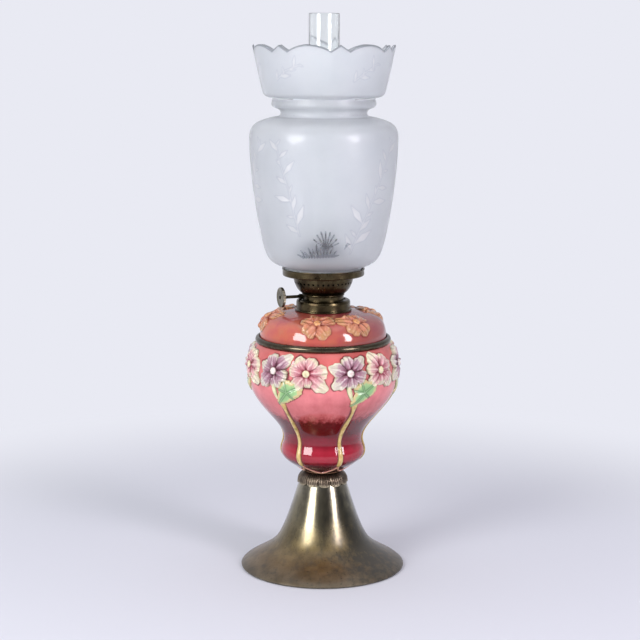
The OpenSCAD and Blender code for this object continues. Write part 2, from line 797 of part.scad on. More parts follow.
tube_low = body_low - tube_tail;
slit_azimuth = winder_azimuth
    - atan2(spindle_side, sqrt(pow(wick_in_r, 2) - pow(spindle_side, 2)) + wick_t / 2);
draught_r = wick_in_r - wick_room;
draught_low = spindle_z + wheel_r + 1.5;
web_top = draught_low + web_h;
web_angle = wick_slit * 0.55;
slit_top = web_top + wick_down + 2;
// The spindle ends in the draught tube, just short of the wick
spindle_end = sqrt(pow(wick_in_r - wheel_room, 2) - pow(spindle_side + spindle_d / 2, 2));

module outer_wick_tube() {
    window_low = spindle_z - wheel_r - 2;
    color("#8a7a4c")
        difference() {
            tube(tube_r, tube_r - tube_wall, tube_low, tube_top);
            // Window through which the spindle passes and air reaches the draught tube
            sector(tube_r + eps, tube_r - tube_wall - eps, window_low, draught_low,
                   slit_azimuth, wick_slit * 0.7);
        }
}

module draught_tube() {
    color("#8a7a4c")
        difference() {
            union() {
                tube(draught_r, draught_r - tube_wall, draught_low, tube_top);
                // Web that joins the two tubes within the slit of the wick
                sector(tube_r - tube_wall - solder, draught_r - tube_wall / 2, draught_low, web_top,
                       slit_azimuth, web_angle);
                // Tongue that carries the inner end of the spindle
                intersection() {
                    tube(draught_r, draught_r - tube_wall, spindle_z - spindle_d - 1, draught_low + 1);
                    rotate([0, 0, winder_azimuth])
                        translate([-spindle_end - 3, -spindle_side - 3, spindle_z - spindle_d - 2])
                            cube([6, 6, wheel_r + spindle_d + 6]);
                }
            }
            along_winder()
                translate([0, 0, -draught_r]) cylinder(h = draught_r, r = spindle_d / 2 + spindle_room);
        }
}

module wick() {
    low = bowl_base.y + font_wall + wick_foot_room + wick_down;
    color("#d9d2be")
        difference() {
            tube(wick_out_r, wick_in_r, low, tube_top + wick_show);
            sector(wick_out_r + eps, wick_in_r - eps, low - eps, slit_top, slit_azimuth, wick_slit);
        }
}

// Winder: spindle, toothed wheels and knob turn together

knob_dish = 0.6;
knob_hub_r = spindle_d / 2 + 1.4;
knob_hub_h = 3;
knurls = 40;
knurl_r = 0.45;
rivet_h = 0.7;

module spindle_sleeve() {
    color("#8a7a4c")
        along_winder()
            tube(sleeve_r, spindle_d / 2 + spindle_room, burner_r - 4, burner_r + 2.5);
}

module winder_spindle() {
    color("#3f3d36")
        along_winder() {
            translate([0, 0, -spindle_end])
                cylinder(h = spindle_end + knob_reach + knob_t / 2 + rivet_h, r = spindle_d / 2);
        }
}

module wick_wheels() {
    root_r = wheel_r - 0.9;
    points = [for (i = [0:wheel_teeth * 2 - 1])
        let (r = i % 2 == 0 ? wheel_r : root_r, a = i * 180 / wheel_teeth)
        r * [cos(a), sin(a)]];
    color("#8a7a4c")
        along_winder()
            for (side = [-1, 1])
                translate([0, 0, side * wheel_half - wheel_t / 2])
                    difference() {
                        linear_extrude(wheel_t) polygon(points);
                        translate([0, 0, -eps]) cylinder(h = wheel_t + 2 * eps, r = spindle_d / 2, $fn = 48);
                    }
}

module winder_knob() {
    face = knob_reach + knob_t / 2;
    back = knob_reach - knob_t / 2;
    color("#6f6b5c")
        along_winder()
            difference() {
                turned([
                    [spindle_d / 2, back - knob_hub_h], [knob_hub_r, back - knob_hub_h], [knob_hub_r, back],
                    [knob_d / 2, back], [knob_d / 2, face], [knob_d / 2 - 1.2, face],
                    [knob_d / 2 - 1.8, face - knob_dish], [knob_hub_r + 0.6, face - knob_dish],
                    [knob_hub_r, face], [spindle_d / 2, face]]);
                around(knurls)
                    translate([knob_d / 2 + knurl_r * 0.3, 0, back - eps])
                        cylinder(h = knob_t + 2 * eps, r = knurl_r, $fn = 24);
            }
}

// Chimney: wide at the seat, drawn in at the throat just above the wick, then a straight flue

chimney_top = chimney_z + chimney_h;
throat_z = chimney_z + throat_h;
flue_rise = 20;
chimney_line = join([
    [[chimney_d / 2, chimney_z], [chimney_d / 2, throat_z - throat_d * 0.65]],
    curve([chimney_d / 2, throat_z - throat_d * 0.65], 90, 0.5, [throat_d / 2, throat_z], 90, 0.35),
    curve([throat_d / 2, throat_z], 90, 0.4, [flue_d / 2, throat_z + flue_rise], 90, 0.4),
    [[flue_d / 2, throat_z + flue_rise], [flue_d / 2, chimney_top]]]);

module chimney() {
    inside = inset(chimney_line, chimney_wall);
    color([0.85, 0.9, 0.92, 0.35])
        turned(concat(chimney_line, reverse(inside)));
}

// Shade: fitter, belled body, pinched neck with a bead, and a scalloped crown

shade_top = gallery_floor + shade_h;
fitter_d = gallery_d - 2 * (gallery_t + fitter_gap);
function shade_at(d, h) = [d / 2, gallery_floor + h];
shade_low = shade_at(shade_low_d, shade_low_h);
shade_shoulder = shade_at(shoulder_d, shade_neck_h - shoulder_drop);
shade_slope = shade_at(shade_neck_d + 20, shade_neck_h - 4.2);
shade_neck = shade_at(shade_neck_d, shade_neck_h);
shade_bead = shade_at(bead_d, shade_neck_h + bead_h);
shade_groove = shade_at(bead_d - 2.4, shade_neck_h + bead_h + groove_h);
crown_foot = shade_at(crown_foot_d, shade_neck_h + bead_h + groove_h + crown_rise);
crown_rim = shade_at(crown_d, shade_h);
body_line = join([
    [shade_at(fitter_d, 0), shade_at(fitter_d, fitter_h)],
    curve(shade_at(fitter_d, fitter_h), 18, 0.4, shade_low, 66, 0.4),
    curve(shade_low, 66, 0.16, shade_shoulder, 90, 0.3),
    curve(shade_shoulder, 90, 0.5, shade_slope, 164, 0.45),
    curve(shade_slope, 164, 0.4, shade_neck, 90, 0.35)]);
bead_line = join([
    curve(shade_neck, 90, 0.5, shade_bead, 90, 0.4),
    curve(shade_bead, 90, 0.35, shade_groove, 90, 0.35)]);
crown_line = join([
    curve(shade_groove, 8, 0.45, crown_foot, 76, 0.4),
    curve(crown_foot, 76, 0.3, crown_rim, 79, 0.3)]);
shade_line = join([body_line, bead_line, crown_line]);
// The bead is solid: inside, the neck opens past it into the crown in one slope
shade_inside = concat(inset(body_line, shade_wall), [[shade_groove.x - 1.6 * shade_wall, shade_bead.y]],
    inset(crown_line, shade_wall));

scallop_step = 360 / scallops;

// Everything above one tooth of the rim: a round scallop, or a pointed peak where round is false
module above_tooth(half_angle, round) {
    half = crown_d / 2 * sin(half_angle);
    arc_r = (half * half + scallop_depth * scallop_depth) / (2 * scallop_depth);
    rotate([90, 0, 90])
        translate([0, 0, crown_d * 0.42])
            linear_extrude(crown_d * 0.12)
                difference() {
                    translate([-half - 0.05, 0]) square([2 * half + 0.1, scallop_depth * 2]);
                    if (round) translate([0, scallop_depth - arc_r]) circle(r = arc_r);
                    else polygon([[-half, -1], [half, -1], [half, 0], [0, scallop_depth * 0.94], [-half, 0]]);
                }
}

module shade() {
    color([0.88, 0.9, 0.93, 0.6])
        difference() {
            turned(concat(shade_line, reverse(shade_inside)));
            translate([0, 0, shade_top - scallop_depth])
                for (i = [0:scallops - 1]) {
                    rotate([0, 0, scallop_azimuth + i * scallop_step])
                        above_tooth(scallop_step * scallop_share / 2, true);
                    rotate([0, 0, scallop_azimuth + (i + 0.5) * scallop_step])
                        above_tooth(scallop_step * (1 - scallop_share) / 2, false);
                }
        }
}

trumpet_foot();
foot_washer();
tie_rod();
tie_rod_nuts();
leaf_collar();
leather_washers();
vase_washer();
vase();
blossom_sprigs();
leaf_sprigs();
stem_sprigs();
rim_ring();
oil_font();
font_bowl();
font_blossoms();
font_collar();
collar_plaster();
burner_body();
air_basket();
shade_gallery();
chimney_holder();
outer_wick_tube();
draught_tube();
wick();
spindle_sleeve();
winder_spindle();
wick_wheels();
winder_knob();
chimney();
shade();
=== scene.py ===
# %% [markdown]
# # A kerosene table lamp
# A CAD frame already holds every piece of this lamp at its real size, with its joints. Here each piece that
# shows gets the surface and the finish of the real one: spun brass, moulded majolica, a pierced burner and
# etched glass. The frame comes first, because every piece rides on one of its bodies.

import bpy
import numpy as np
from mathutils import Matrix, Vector


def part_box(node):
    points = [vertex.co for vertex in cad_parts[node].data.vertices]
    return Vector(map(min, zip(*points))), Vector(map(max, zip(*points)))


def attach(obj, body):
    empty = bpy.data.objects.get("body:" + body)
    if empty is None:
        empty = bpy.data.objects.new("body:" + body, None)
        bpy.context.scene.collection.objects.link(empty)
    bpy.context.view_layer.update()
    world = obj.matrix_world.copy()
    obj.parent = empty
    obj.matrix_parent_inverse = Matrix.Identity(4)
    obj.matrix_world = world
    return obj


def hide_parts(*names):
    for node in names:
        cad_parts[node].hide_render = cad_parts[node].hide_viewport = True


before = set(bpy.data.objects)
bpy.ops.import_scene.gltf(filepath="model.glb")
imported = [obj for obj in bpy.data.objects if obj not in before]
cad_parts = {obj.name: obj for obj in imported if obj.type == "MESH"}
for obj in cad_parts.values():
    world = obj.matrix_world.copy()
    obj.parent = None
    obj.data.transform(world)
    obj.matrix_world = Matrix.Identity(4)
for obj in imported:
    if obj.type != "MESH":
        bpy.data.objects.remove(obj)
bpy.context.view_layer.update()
MM = 0.001
TAU = 2 * np.pi


def box(node):
    """Lowest and highest corner of a CAD node, in millimetres."""
    low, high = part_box(node)
    return np.array(low) / MM, np.array(high) / MM


# %% [markdown]
# ## Camera
# The lamp was photographed with a long lens from about the height of the shade's rim, so its upright lines
# stay nearly parallel. A small sideways shift puts the axis of the lamp in the column where the picture has
# it, which is better than turning the camera, because a turn would also tilt the perspective.

# %% Camera
PICTURE_SIDE = 640
AXIS_COLUMN = 323.2
CAMERA_ROLL = 0.2
CAMERA_BACK = 1664.1
CAMERA_RISE = 542.6
AIM_RISE = 259.7
SENSOR_W, FOCAL_LENGTH = 36, 92.43

lens = bpy.data.cameras.new("camera")
lens.sensor_width = SENSOR_W
lens.lens = FOCAL_LENGTH
lens.shift_x = (PICTURE_SIDE / 2 - AXIS_COLUMN) / PICTURE_SIDE
camera = bpy.data.objects.new("camera", lens)
bpy.context.scene.collection.objects.link(camera)
camera.location = Vector((0, -CAMERA_BACK, CAMERA_RISE)) * MM
camera.rotation_euler = (Vector((0, 0, AIM_RISE * MM)) - camera.location).to_track_quat("-Z", "Y").to_euler()
camera.rotation_euler.rotate_axis("Z", np.radians(CAMERA_ROLL))
bpy.context.scene.camera = camera
print("camera:", tuple(round(x, 3) for x in camera.location))

# %% [markdown]
# ## Surfaces from grids
# Every new piece is a grid of points worked out as one array: one parameter runs along the outline and the
# other round the axis. A modelling tool could spin a curve instead, but an array also lets a formula press
# leaves, petals and scallops into the same sheet. Points that fall on the same place are welded, which
# closes seams and poles.

# %% Meshes
WELD = 0.001
SMOOTH_BELOW = 38


def surface(name, points, sharp=SMOOTH_BELOW, **attributes):
    """A mesh over a grid of points in millimetres, or a list of grids: the last axes are u, v and xyz, and
    axes before them repeat it. Each cell is a quad, and the sign of the enclosed volume, the sum of
    a . (b x c + c x d) / 6, turns it outwards. Edges over sharp degrees stay hard."""
    grids = points if isinstance(points, list) else [points]
    quads, count = [], 0
    for grid in grids:
        index = count + np.arange(grid.size // 3).reshape(-1, *grid.shape[-3:-1])
        count += grid.size // 3
        corners = [index[:, :-1, :-1], index[:, 1:, :-1], index[:, 1:, 1:], index[:, :-1, 1:]]
        quads.append(np.stack(corners, -1).reshape(-1, 4))
    quads = np.concatenate(quads)
    flat = np.concatenate([grid.reshape(-1, 3) for grid in grids])
    places = np.rint(flat / WELD).astype(np.int64)
    _, kept, welded = np.unique(places, axis=0, return_index=True, return_inverse=True)
    vertices, quads = flat[kept], welded.reshape(-1)[quads]
    a, b, c, d = (vertices[quads[:, k]] for k in range(4))
    if np.sum(a * (np.cross(b, c) + np.cross(c, d))) < 0:
        quads = quads[:, ::-1]
    repeated = quads == np.roll(quads, 1, axis=1)
    corners = 4 - repeated.sum(1)
    real = corners > 2
    starts = np.concatenate([[0], np.cumsum(corners[real])[:-1]])
    mesh = bpy.data.meshes.new(name)
    mesh.vertices.add(len(vertices))
    mesh.vertices.foreach_set("co", (vertices * MM).astype(np.float32).ravel())
    mesh.loops.add(int(corners[real].sum()))
    mesh.loops.foreach_set("vertex_index", quads[real][~repeated[real]].astype(np.int32))
    mesh.polygons.add(int(real.sum()))
    mesh.polygons.foreach_set("loop_start", starts.astype(np.int32))
    mesh.update(calc_edges=True)
    mesh.polygons.foreach_set("use_smooth", np.ones(len(mesh.polygons), bool))
    mesh.set_sharp_from_angle(angle=np.radians(sharp))
    for label, values in attributes.items():
        layer = mesh.attributes.new(label, "FLOAT", "POINT")
        values = np.broadcast_to(values, points.shape[:-1]).reshape(-1)[kept]
        layer.data.foreach_set("value", values.astype(np.float32))
    return mesh


# %% Pieces
def piece(name, points, finish, body, slot, *nodes, sharp=SMOOTH_BELOW, **attributes):
    """Put a surface into the scene as a finished piece that rides on a body and stands for CAD nodes."""
    mesh = surface(name, points, sharp, **attributes)
    obj = bpy.data.objects.new(name, mesh)
    bpy.context.scene.collection.objects.link(obj)
    mesh.materials.append(finish)
    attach(obj, body)
    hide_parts(*nodes)
    places = np.array([v.co for v in mesh.vertices]) / MM
    print(f"{name}: {len(mesh.polygons)} faces, {places.min(0).round(1)} to {places.max(0).round(1)} mm")


# %% Outlines
def curve(a, heading_a, reach_a, b, heading_b, reach_b, steps=20):
    """A cubic curve from a to b. Headings are degrees from outwards, reaches are shares of the distance a to
    b: the sum of (1-t)^3 a, 3(1-t)^2 t p, 3(1-t) t^2 q and t^3 b, with p and q along the headings."""
    a, b = np.array(a, float), np.array(b, float)
    span = np.hypot(*(b - a))
    p = a + reach_a * span * np.array([np.cos(np.radians(heading_a)), np.sin(np.radians(heading_a))])
    q = b - reach_b * span * np.array([np.cos(np.radians(heading_b)), np.sin(np.radians(heading_b))])
    t = np.linspace(0, 1, steps + 1)[:, None]
    return (1 - t) ** 3 * a + 3 * (1 - t) ** 2 * t * p + 3 * (1 - t) * t**2 * q + t**3 * b


def joined(*stretches):
    """Stretches that share their ends, as one line of points."""
    return np.concatenate([stretches[0]] + [s[1:] for s in stretches[1:]])


def shifted(line, distance):
    """The line moved sideways by a distance, to the left of its direction."""
    along = np.gradient(line, axis=0)
    along /= np.linalg.norm(along, axis=1)[:, None]
    return line + distance * np.stack([-along[:, 1], along[:, 0]], 1)


def eased(corners, radius, steps=4):
    """A closed outline whose corners are eased: a parabola leaves each side at the radius from the corner."""
    p = np.array(corners, float)
    back, ahead = np.roll(p, 1, 0) - p, np.roll(p, -1, 0) - p
    a = p + back * np.minimum(radius / np.linalg.norm(back, axis=1), 0.45)[:, None]
    b = p + ahead * np.minimum(radius / np.linalg.norm(ahead, axis=1), 0.45)[:, None]
    t = np.linspace(0, 1, steps + 1)[None, :, None]
    bend = (1 - t) ** 2 * a[:, None] + 2 * t * (1 - t) * p[:, None] + t**2 * b[:, None]
    return bend.reshape(-1, 2)


def closed(line):
    """The line with its first point again at its end."""
    return np.concatenate([line, line[:1]])


def turns(segments):
    """Angles of one full turn, of which the last is the first again."""
    angle = np.linspace(0, TAU, segments + 1)
    angle[-1] = angle[0]
    return angle


def turned(line, segments=192):
    """A lathe: each point (r, z) of the line goes round the axis as (r cos a, r sin a, z)."""
    a = turns(segments)[:, None]
    r, z = line[:, 0], line[:, 1]
    return np.stack(np.broadcast_arrays(r * np.cos(a), r * np.sin(a), z), -1)


# %% [markdown]
# ## Finishes
# A finish starts from what the real material is and how its surface was made. Colours are written as they
# are picked from a screen, and one function takes them to the linear values that light is worked out with.
# Patterns get their scale from a size in millimetres.

# %% Colours and nodes
def linear(colour):
    """sRGB hex to linear: c / 12.92 below 0.04045, else ((c + 0.055) / 1.055)^2.4."""
    c = np.array([int(colour[k : k + 2], 16) for k in (1, 3, 5)]) / 255
    return (*np.where(c <= 0.04045, c / 12.92, ((c + 0.055) / 1.055) ** 2.4), 1.0)


def per(size):
    """Texture scale at which a pattern repeats about every so many millimetres."""
    return 1 / (size * MM)


def add(tree, kind, inputs=None, stops=(), out=0, **settings):
    """Add a node and return one of its outputs, the first unless out names another. Inputs are values or
    sockets to link, stops are a colour ramp's, and settings are the node's properties."""
    node = tree.nodes.new("ShaderNode" + kind)
    for key, value in settings.items():
        setattr(node, key, value)
    for key, value in (inputs or {}).items():
        if isinstance(value, bpy.types.NodeSocket):
            tree.links.new(value, node.inputs[key])
        else:
            node.inputs[key].default_value = value
    for k, (position, colour) in enumerate(stops):
        element = node.color_ramp.elements[k] if k < 2 else node.color_ramp.elements.new(position)
        element.position, element.color = position, linear(colour)
    return node.outputs[out]


def new_finish(name, **values):
    """A material with one Principled shader: its tree, its object coordinates and its shader."""
    made = bpy.data.materials.new(name)
    made.use_nodes = True
    shader = made.node_tree.nodes["Principled BSDF"]
    for key, value in values.items():
        shader.inputs[key.replace("_", " ")].default_value = value
    return made, made.node_tree, add(made.node_tree, "TexCoord", out="Object"), shader


def connect(tree, shader, **sockets):
    """Link sockets to the shader's inputs, named with _ for a space."""
    for key, socket in sockets.items():
        tree.links.new(socket, shader.inputs[key.replace("_", " ")])


BLACK, WHITE = "#000000", "#ffffff"

# %% [markdown]
# ## Aged brass
# The metal of the lamp is sheet brass, spun or pressed and polished once, then left to age. It gives dull
# gold where hands rub it, olive brown where it rests, and near-black specks of oxide. A noise chooses
# between bright and dull metal, a finer one makes the specks, and the tool's rings are a noise that runs up
# the axis only.


# %% Aged brass
def aged_brass(name, bright, dull, speck, rough, mottle, rings=1.4, rings_depth=0.05):
    """Brass with a mottle (mm), dark specks and spinning rings (mm apart, coarser than real, to show)."""
    made, tree, place, shader = new_finish(name, Metallic=1.0)
    patch = add(tree, "TexNoise", {"Vector": place, "Scale": per(mottle), "Detail": 6.0, "Roughness": 0.62})
    metal = add(tree, "ValToRGB", {"Fac": patch}, [(0.36, dull), (0.64, bright)])
    fine = add(tree, "TexNoise", {"Vector": place, "Scale": per(2.2), "Detail": 3.0, "Roughness": 0.7})
    spot = add(tree, "ValToRGB", {"Fac": fine}, [(0.29, WHITE), (0.37, BLACK)])
    colour = add(tree, "MixRGB", {"Fac": spot, "Color1": metal, "Color2": linear(speck)})
    axis = add(tree, "Mapping", {"Vector": place, "Scale": (0.04, 0.04, 1)})
    ring = add(tree, "TexNoise", {"Vector": axis, "Scale": per(rings), "Detail": 2.0})
    height = add(tree, "MixRGB", {"Fac": 0.35, "Color1": ring, "Color2": patch})
    bump = add(tree, "Bump", {"Height": height, "Strength": 0.25, "Distance": rings_depth * MM})
    low, high = rough
    gloss = add(tree, "MapRange",
                {"Value": patch, "From Min": 0.3, "From Max": 0.7, "To Min": high, "To Max": low})
    connect(tree, shader, Base_Color=colour, Roughness=gloss, Normal=bump)
    return made


burner_brass = aged_brass("aged_burner_brass", "#5c523b", "#3a3023", "#17140f", rough=(0.2, 0.34), mottle=11)
ring_brass = aged_brass("aged_ring_brass", "#655d4d", "#463f33", "#221f19", rough=(0.2, 0.32), mottle=16)
knob_brass = aged_brass("worn_knob_brass", "#8f8a7a", "#6a6556", "#2a261c", rough=(0.26, 0.4), mottle=7)
plain_brass = aged_brass("plain_sheet_brass", "#b59a5c", "#8d7440", "#40351f", rough=(0.25, 0.4), mottle=14)
dark_brass = aged_brass("oil_blackened_brass", "#4b4436", "#2b271f", "#12100c", rough=(0.35, 0.5), mottle=9)
print("brass finishes:", [m.name for m in bpy.data.materials if "brass" in m.name])

# %% [markdown]
# ## Trumpet foot
# The foot is one sheet of brass spun over a form: a steep neck, a flare and a folded rim. It could be a
# spun curve with a thickness, but writing the wall as a closed outline keeps the folded rim and the flat
# ring that it stands on. Its finish adds to the brass a thin lacquer, tones that change with the height,
# and a dark bloom of old damp on the right.

# %% Foot metal
foot_r, _, foot_h = box("trumpet_foot")[1]
STAIN_PLACE = (0.053, -0.030, 0.044)
STAIN_SIZE = (0.065, 0.085, 0.100)
FOOT_TONES = [(0.0, "#8a8578"), (0.03, "#80735f"), (0.16, "#856d49"), (0.36, "#90805b"), (0.7, "#989076"),
              (0.95, "#a49d8a")]

foot_brass = aged_brass("spun_foot_brass", WHITE, "#c6c2b8", "#6a675e", rough=(0.16, 0.24), mottle=30,
                        rings=0.9, rings_depth=0.015)
tree = foot_brass.node_tree
shader = tree.nodes["Principled BSDF"]
# A thin lacquer gives the highlights their white core, and the flare below is rubbed to a satin
shader.inputs["Coat Weight"].default_value = 0.65
shader.inputs["Coat Roughness"].default_value = 0.24
place = add(tree, "TexCoord", out="Object")
height = add(tree, "SeparateXYZ", {"Vector": place}, out="Z")
level = add(tree, "MapRange", {"Value": height, "From Max": foot_h * MM})
tone = add(tree, "ValToRGB", {"Fac": level}, FOOT_TONES)
worn = shader.inputs["Base Color"].links[0].from_socket
clean = add(tree, "MixRGB", {"Fac": 1.0, "Color1": tone, "Color2": worn}, blend_type="MULTIPLY")
centred = add(tree, "Mapping", {"Vector": place, "Location": STAIN_PLACE, "Scale": STAIN_SIZE},
              vector_type="TEXTURE")
around = add(tree, "TexGradient", {"Vector": centred}, gradient_type="SPHERICAL", out="Fac")
drip = add(tree, "Mapping", {"Vector": place, "Scale": (1, 1, 0.4)})
blotch = add(tree, "TexNoise", {"Vector": drip, "Scale": per(7), "Detail": 7.0, "Roughness": 0.66})
amount = add(tree, "Math", {0: around, 1: 0.5, 2: blotch}, operation="MULTIPLY_ADD")
stain = add(tree, "MapRange", {"Value": amount, "From Min": 0.48, "From Max": 0.84, "To Max": 0.85})
stained = add(tree, "MixRGB", {"Fac": stain, "Color1": clean, "Color2": linear("#43413a")})
polish = shader.inputs["Roughness"].links[0].from_socket
satin = add(tree, "MapRange",
            {"Value": level, "From Min": 0.1, "From Max": 0.62, "To Min": 0.4, "To Max": 0.0})
rubbed = add(tree, "Math", {0: polish, 1: satin}, operation="ADD")
connect(tree, shader, Base_Color=stained, Roughness=rubbed)
print("foot metal:", len(tree.nodes), "nodes")

# %% Foot shape
FOOT_WALL, FOOT_RING, FOOT_CLEAR = 1.4, 3.2, 0.3
FOOT_LIP_H, FOOT_NECK_R = 2.0, 23.8
FOOT_FLARE = (50.5, 26.0)
ROD_ROOM_R = 3.3

rim_fold = curve((foot_r - FOOT_RING, 0), 10, 0.5, (foot_r, FOOT_LIP_H), 90, 0.5, 8)
foot_line = joined(
    rim_fold,
    curve((foot_r, FOOT_LIP_H), 124, 0.16, FOOT_FLARE, 135, 0.41, 40),
    curve(FOOT_FLARE, 135, 0.22, (FOOT_NECK_R, foot_h), 109.5, 0.25, 40),
)
inside = shifted(foot_line, FOOT_WALL)
in_r, in_z = inside.T
inside = inside[(in_r < foot_r - FOOT_RING) & (in_z < foot_h - FOOT_WALL) & (in_z > FOOT_CLEAR)]
plate_z = foot_h - FOOT_WALL
neck_plate = [(ROD_ROOM_R, foot_h), (ROD_ROOM_R, plate_z), (FOOT_NECK_R - FOOT_WALL, plate_z)]
foot_outline = np.concatenate([foot_line, neck_plate, inside[::-1]])
piece("spun_foot", turned(closed(foot_outline), 256), foot_brass, "stand", "foot_metal", "trumpet_foot")

# %% [markdown]
# ## Leaf collar
# Between foot and vase sits a small casting of leaves that hang over the neck of the foot. Copies of one
# leaf would have to be joined, so its wall is a lathe outline with a formula on top: each leaf has fine
# upright ribs, a groove parts it from the next, and the lower edge runs down to a curled tip and back up to
# a dark notch. The tips are painted pale, both for brass rubbed bright and as a painted highlight where
# the curls catch the light, so the mesh also keeps where they are.

# %% Collar shape
collar_low, collar_high = box("leaf_collar")
COLLAR_LEAVES = 12
COLLAR_TURN = np.radians(274)
COLLAR_LOW_R, COLLAR_TOP_R, COLLAR_WALL, COLLAR_H = 25.0, 16.5, 1.5, 13.0
LEAF_TIP_DROP, LEAF_SWELL, LEAF_RIB, LEAF_GROOVE, TIP_CURL = 2.4, 0.55, 0.2, 0.75, 0.75
LEAF_HANG, LEAF_LEAST = 0.6, 0.7

a = turns(720)[:, None]
up = np.linspace(0, 1, 36)[None, :] ** 1.2
across = ((a - COLLAR_TURN) * COLLAR_LEAVES / TAU + 0.5) % 1 * 2 - 1
low_edge = collar_low[2] - LEAF_HANG + LEAF_TIP_DROP * np.abs(across) ** 2.4
line = curve((COLLAR_LOW_R, 0.0), 74, 0.35, (COLLAR_TOP_R, COLLAR_H), 162, 0.5, 40)
base_r = np.interp(up * COLLAR_H, line[:, 1], line[:, 0])
swell = LEAF_SWELL * (1 - across**4) * (1 - 0.5 * up)
ribs = LEAF_RIB * np.cos(TAU * 2.5 * across) * (1 - 0.6 * up) * np.clip(up * 6, 0, 1)
groove = LEAF_GROOVE * np.exp(-(((np.abs(across) - 1) / 0.12) ** 2)) * (1 - 0.5 * up)
tip = np.exp(-((up / 0.13) ** 2)) * (1 - 0.7 * across**2)
outer_r = base_r + swell + ribs - groove + TIP_CURL * tip
outer_z = low_edge + up * (collar_high[2] - low_edge)
outer = np.stack([outer_r * np.cos(a), outer_r * np.sin(a), outer_z], -1)
inner_r = np.minimum(base_r[:, ::-1] - COLLAR_WALL, outer_r[:, ::-1] - LEAF_LEAST)
inner_z = np.minimum(outer_z[:, ::-1], collar_high[2] - COLLAR_WALL)
inner = np.stack([inner_r * np.cos(a), inner_r * np.sin(a), inner_z], -1)
top_ring = np.stack([ROD_ROOM_R * np.cos(a), ROD_ROOM_R * np.sin(a), collar_high[2] + 0 * a], -1)
under_ring = top_ring - (0, 0, COLLAR_WALL)
collar = np.concatenate([outer, top_ring, under_ring, inner, outer[:, :1]], 1)
wear = np.concatenate([tip, np.zeros((len(a), 2 + inner.shape[1])), tip[:, :1]], 1)
low_places = np.maximum(groove / LEAF_GROOVE, 0.5 - ribs / LEAF_RIB / 2) * np.ones_like(tip)
hollow = np.concatenate([low_places, np.zeros((len(a), 3 + inner.shape[1]))], 1)
print("collar:", COLLAR_LEAVES, "leaves")

# %% Collar metal
collar_brass = aged_brass("cast_collar_brass", "#8a7c6c", "#5f5348", "#1c1712", rough=(0.3, 0.46), mottle=6)
tree = collar_brass.node_tree
shader = tree.nodes["Principled BSDF"]
clean = shader.inputs["Base Color"].links[0].from_socket
grime = add(tree, "Attribute", attribute_name="hollow", out="Fac")
depth = add(tree, "MapRange", {"Value": grime, "From Min": 0.3, "From Max": 1.0, "To Max": 0.75})
soiled = add(tree, "MixRGB", {"Fac": depth, "Color1": clean, "Color2": linear("#2f2822")})
# Pale tips: rubbed brass and a painted highlight on the curls
rubbed = add(tree, "Attribute", attribute_name="wear", out="Fac")
colour = add(tree, "MixRGB", {"Fac": rubbed, "Color1": soiled, "Color2": linear("#b3a78e")})
connect(tree, shader, Base_Color=colour)
piece("cast_leaf_collar", collar, collar_brass, "stand", "collar_metal", "leaf_collar", sharp=60, wear=wear,
      hollow=hollow)

# %% [markdown]
# ## The vase and its relief
# The vase was thrown or cast round, and flowers, leaves and stems stand up from its wall. On the real one
# they share its clay; here the wall is a lathe and each sprig is a raised sheet laid on it, because then
# every sprig can have a glaze of its own. A sprig is worked out flat, in millimetres round the girth and
# along the outline, and the function below bends it on to the wall.


# %% Laying shapes on a turned wall
SUNK = 0.35


def wall_of(line):
    """Rows of distance along the outline, radius, height and outward normal, to look up by distance."""
    run = np.concatenate([[0], np.cumsum(np.hypot(*np.diff(line, axis=0).T))])
    along = np.gradient(line, run, axis=0)
    along /= np.linalg.norm(along, axis=1)[:, None]
    return np.column_stack([run, line, along[:, 1], -along[:, 0]])


def on_wall(wall, azimuth, girth, along, height):
    """The point of the wall at a distance along it, turned by azimuth (degrees) plus girth / radius, and
    raised by height."""
    run, r, z, out_r, out_z = wall.T
    radius = np.interp(along, run, r)
    reach = radius + height * np.interp(along, run, out_r)
    angle = np.radians(azimuth) + girth / radius
    rise = np.interp(along, run, z) + height * np.interp(along, run, out_z)
    return np.stack(np.broadcast_arrays(reach * np.cos(angle), reach * np.sin(angle), rise), -1)


def folded_under(share):
    """Shares of a sheet's reach from its middle to its edge, and back to the middle under it."""
    return np.concatenate([share, [1, 0.5, 0]])


def sprig(wall, azimuths, along, angle, reach, share, height):
    """A raised sheet in polar form on the wall at each azimuth: the place share * reach(angle) is raised by
    height. The sheet closes under itself, sunk a little into the wall."""
    raised = np.concatenate([height, np.full((len(angle), 3), -SUNK)], 1)
    r = reach[:, None] * folded_under(share)
    girth, rise = r * np.cos(angle)[:, None], r * np.sin(angle)[:, None]
    azimuths = np.array(azimuths, float)[:, None, None]
    return on_wall(wall, azimuths, girth[None], along + rise[None], raised[None])


# %% Vase outline
vase_low, vase_high = box("vase")
vase_z, vase_top, belly_r = vase_low[2], vase_high[2], vase_high[0]
VASE_BASE = (21.0, vase_z)
VASE_BULGE = (43.2, vase_z + 21.0)
VASE_WAIST = (40.5, vase_z + 34.5)
VASE_BELLY = (belly_r, vase_z + 98.0)
VASE_RIM = (68.0, vase_top)
VASE_WALL = 4.5
vase_line = joined(
    curve(VASE_BASE, 34, 0.42, VASE_BULGE, 90, 0.3, 30),
    curve(VASE_BULGE, 90, 0.36, VASE_WAIST, 90, 0.36, 14),
    curve(VASE_WAIST, 90, 0.25, VASE_BELLY, 90, 0.37, 66),
    curve(VASE_BELLY, 90, 0.3, VASE_RIM, 138, 0.35, 40),
)
vase_wall = wall_of(vase_line)
STEMS = 6
FIRST_STEM = 236
STEM_STEP = 360 / STEMS
stem_azimuths = FIRST_STEM + STEM_STEP * np.arange(STEMS)
print("vase wall:", round(vase_wall[-1, 0], 1), "mm along")

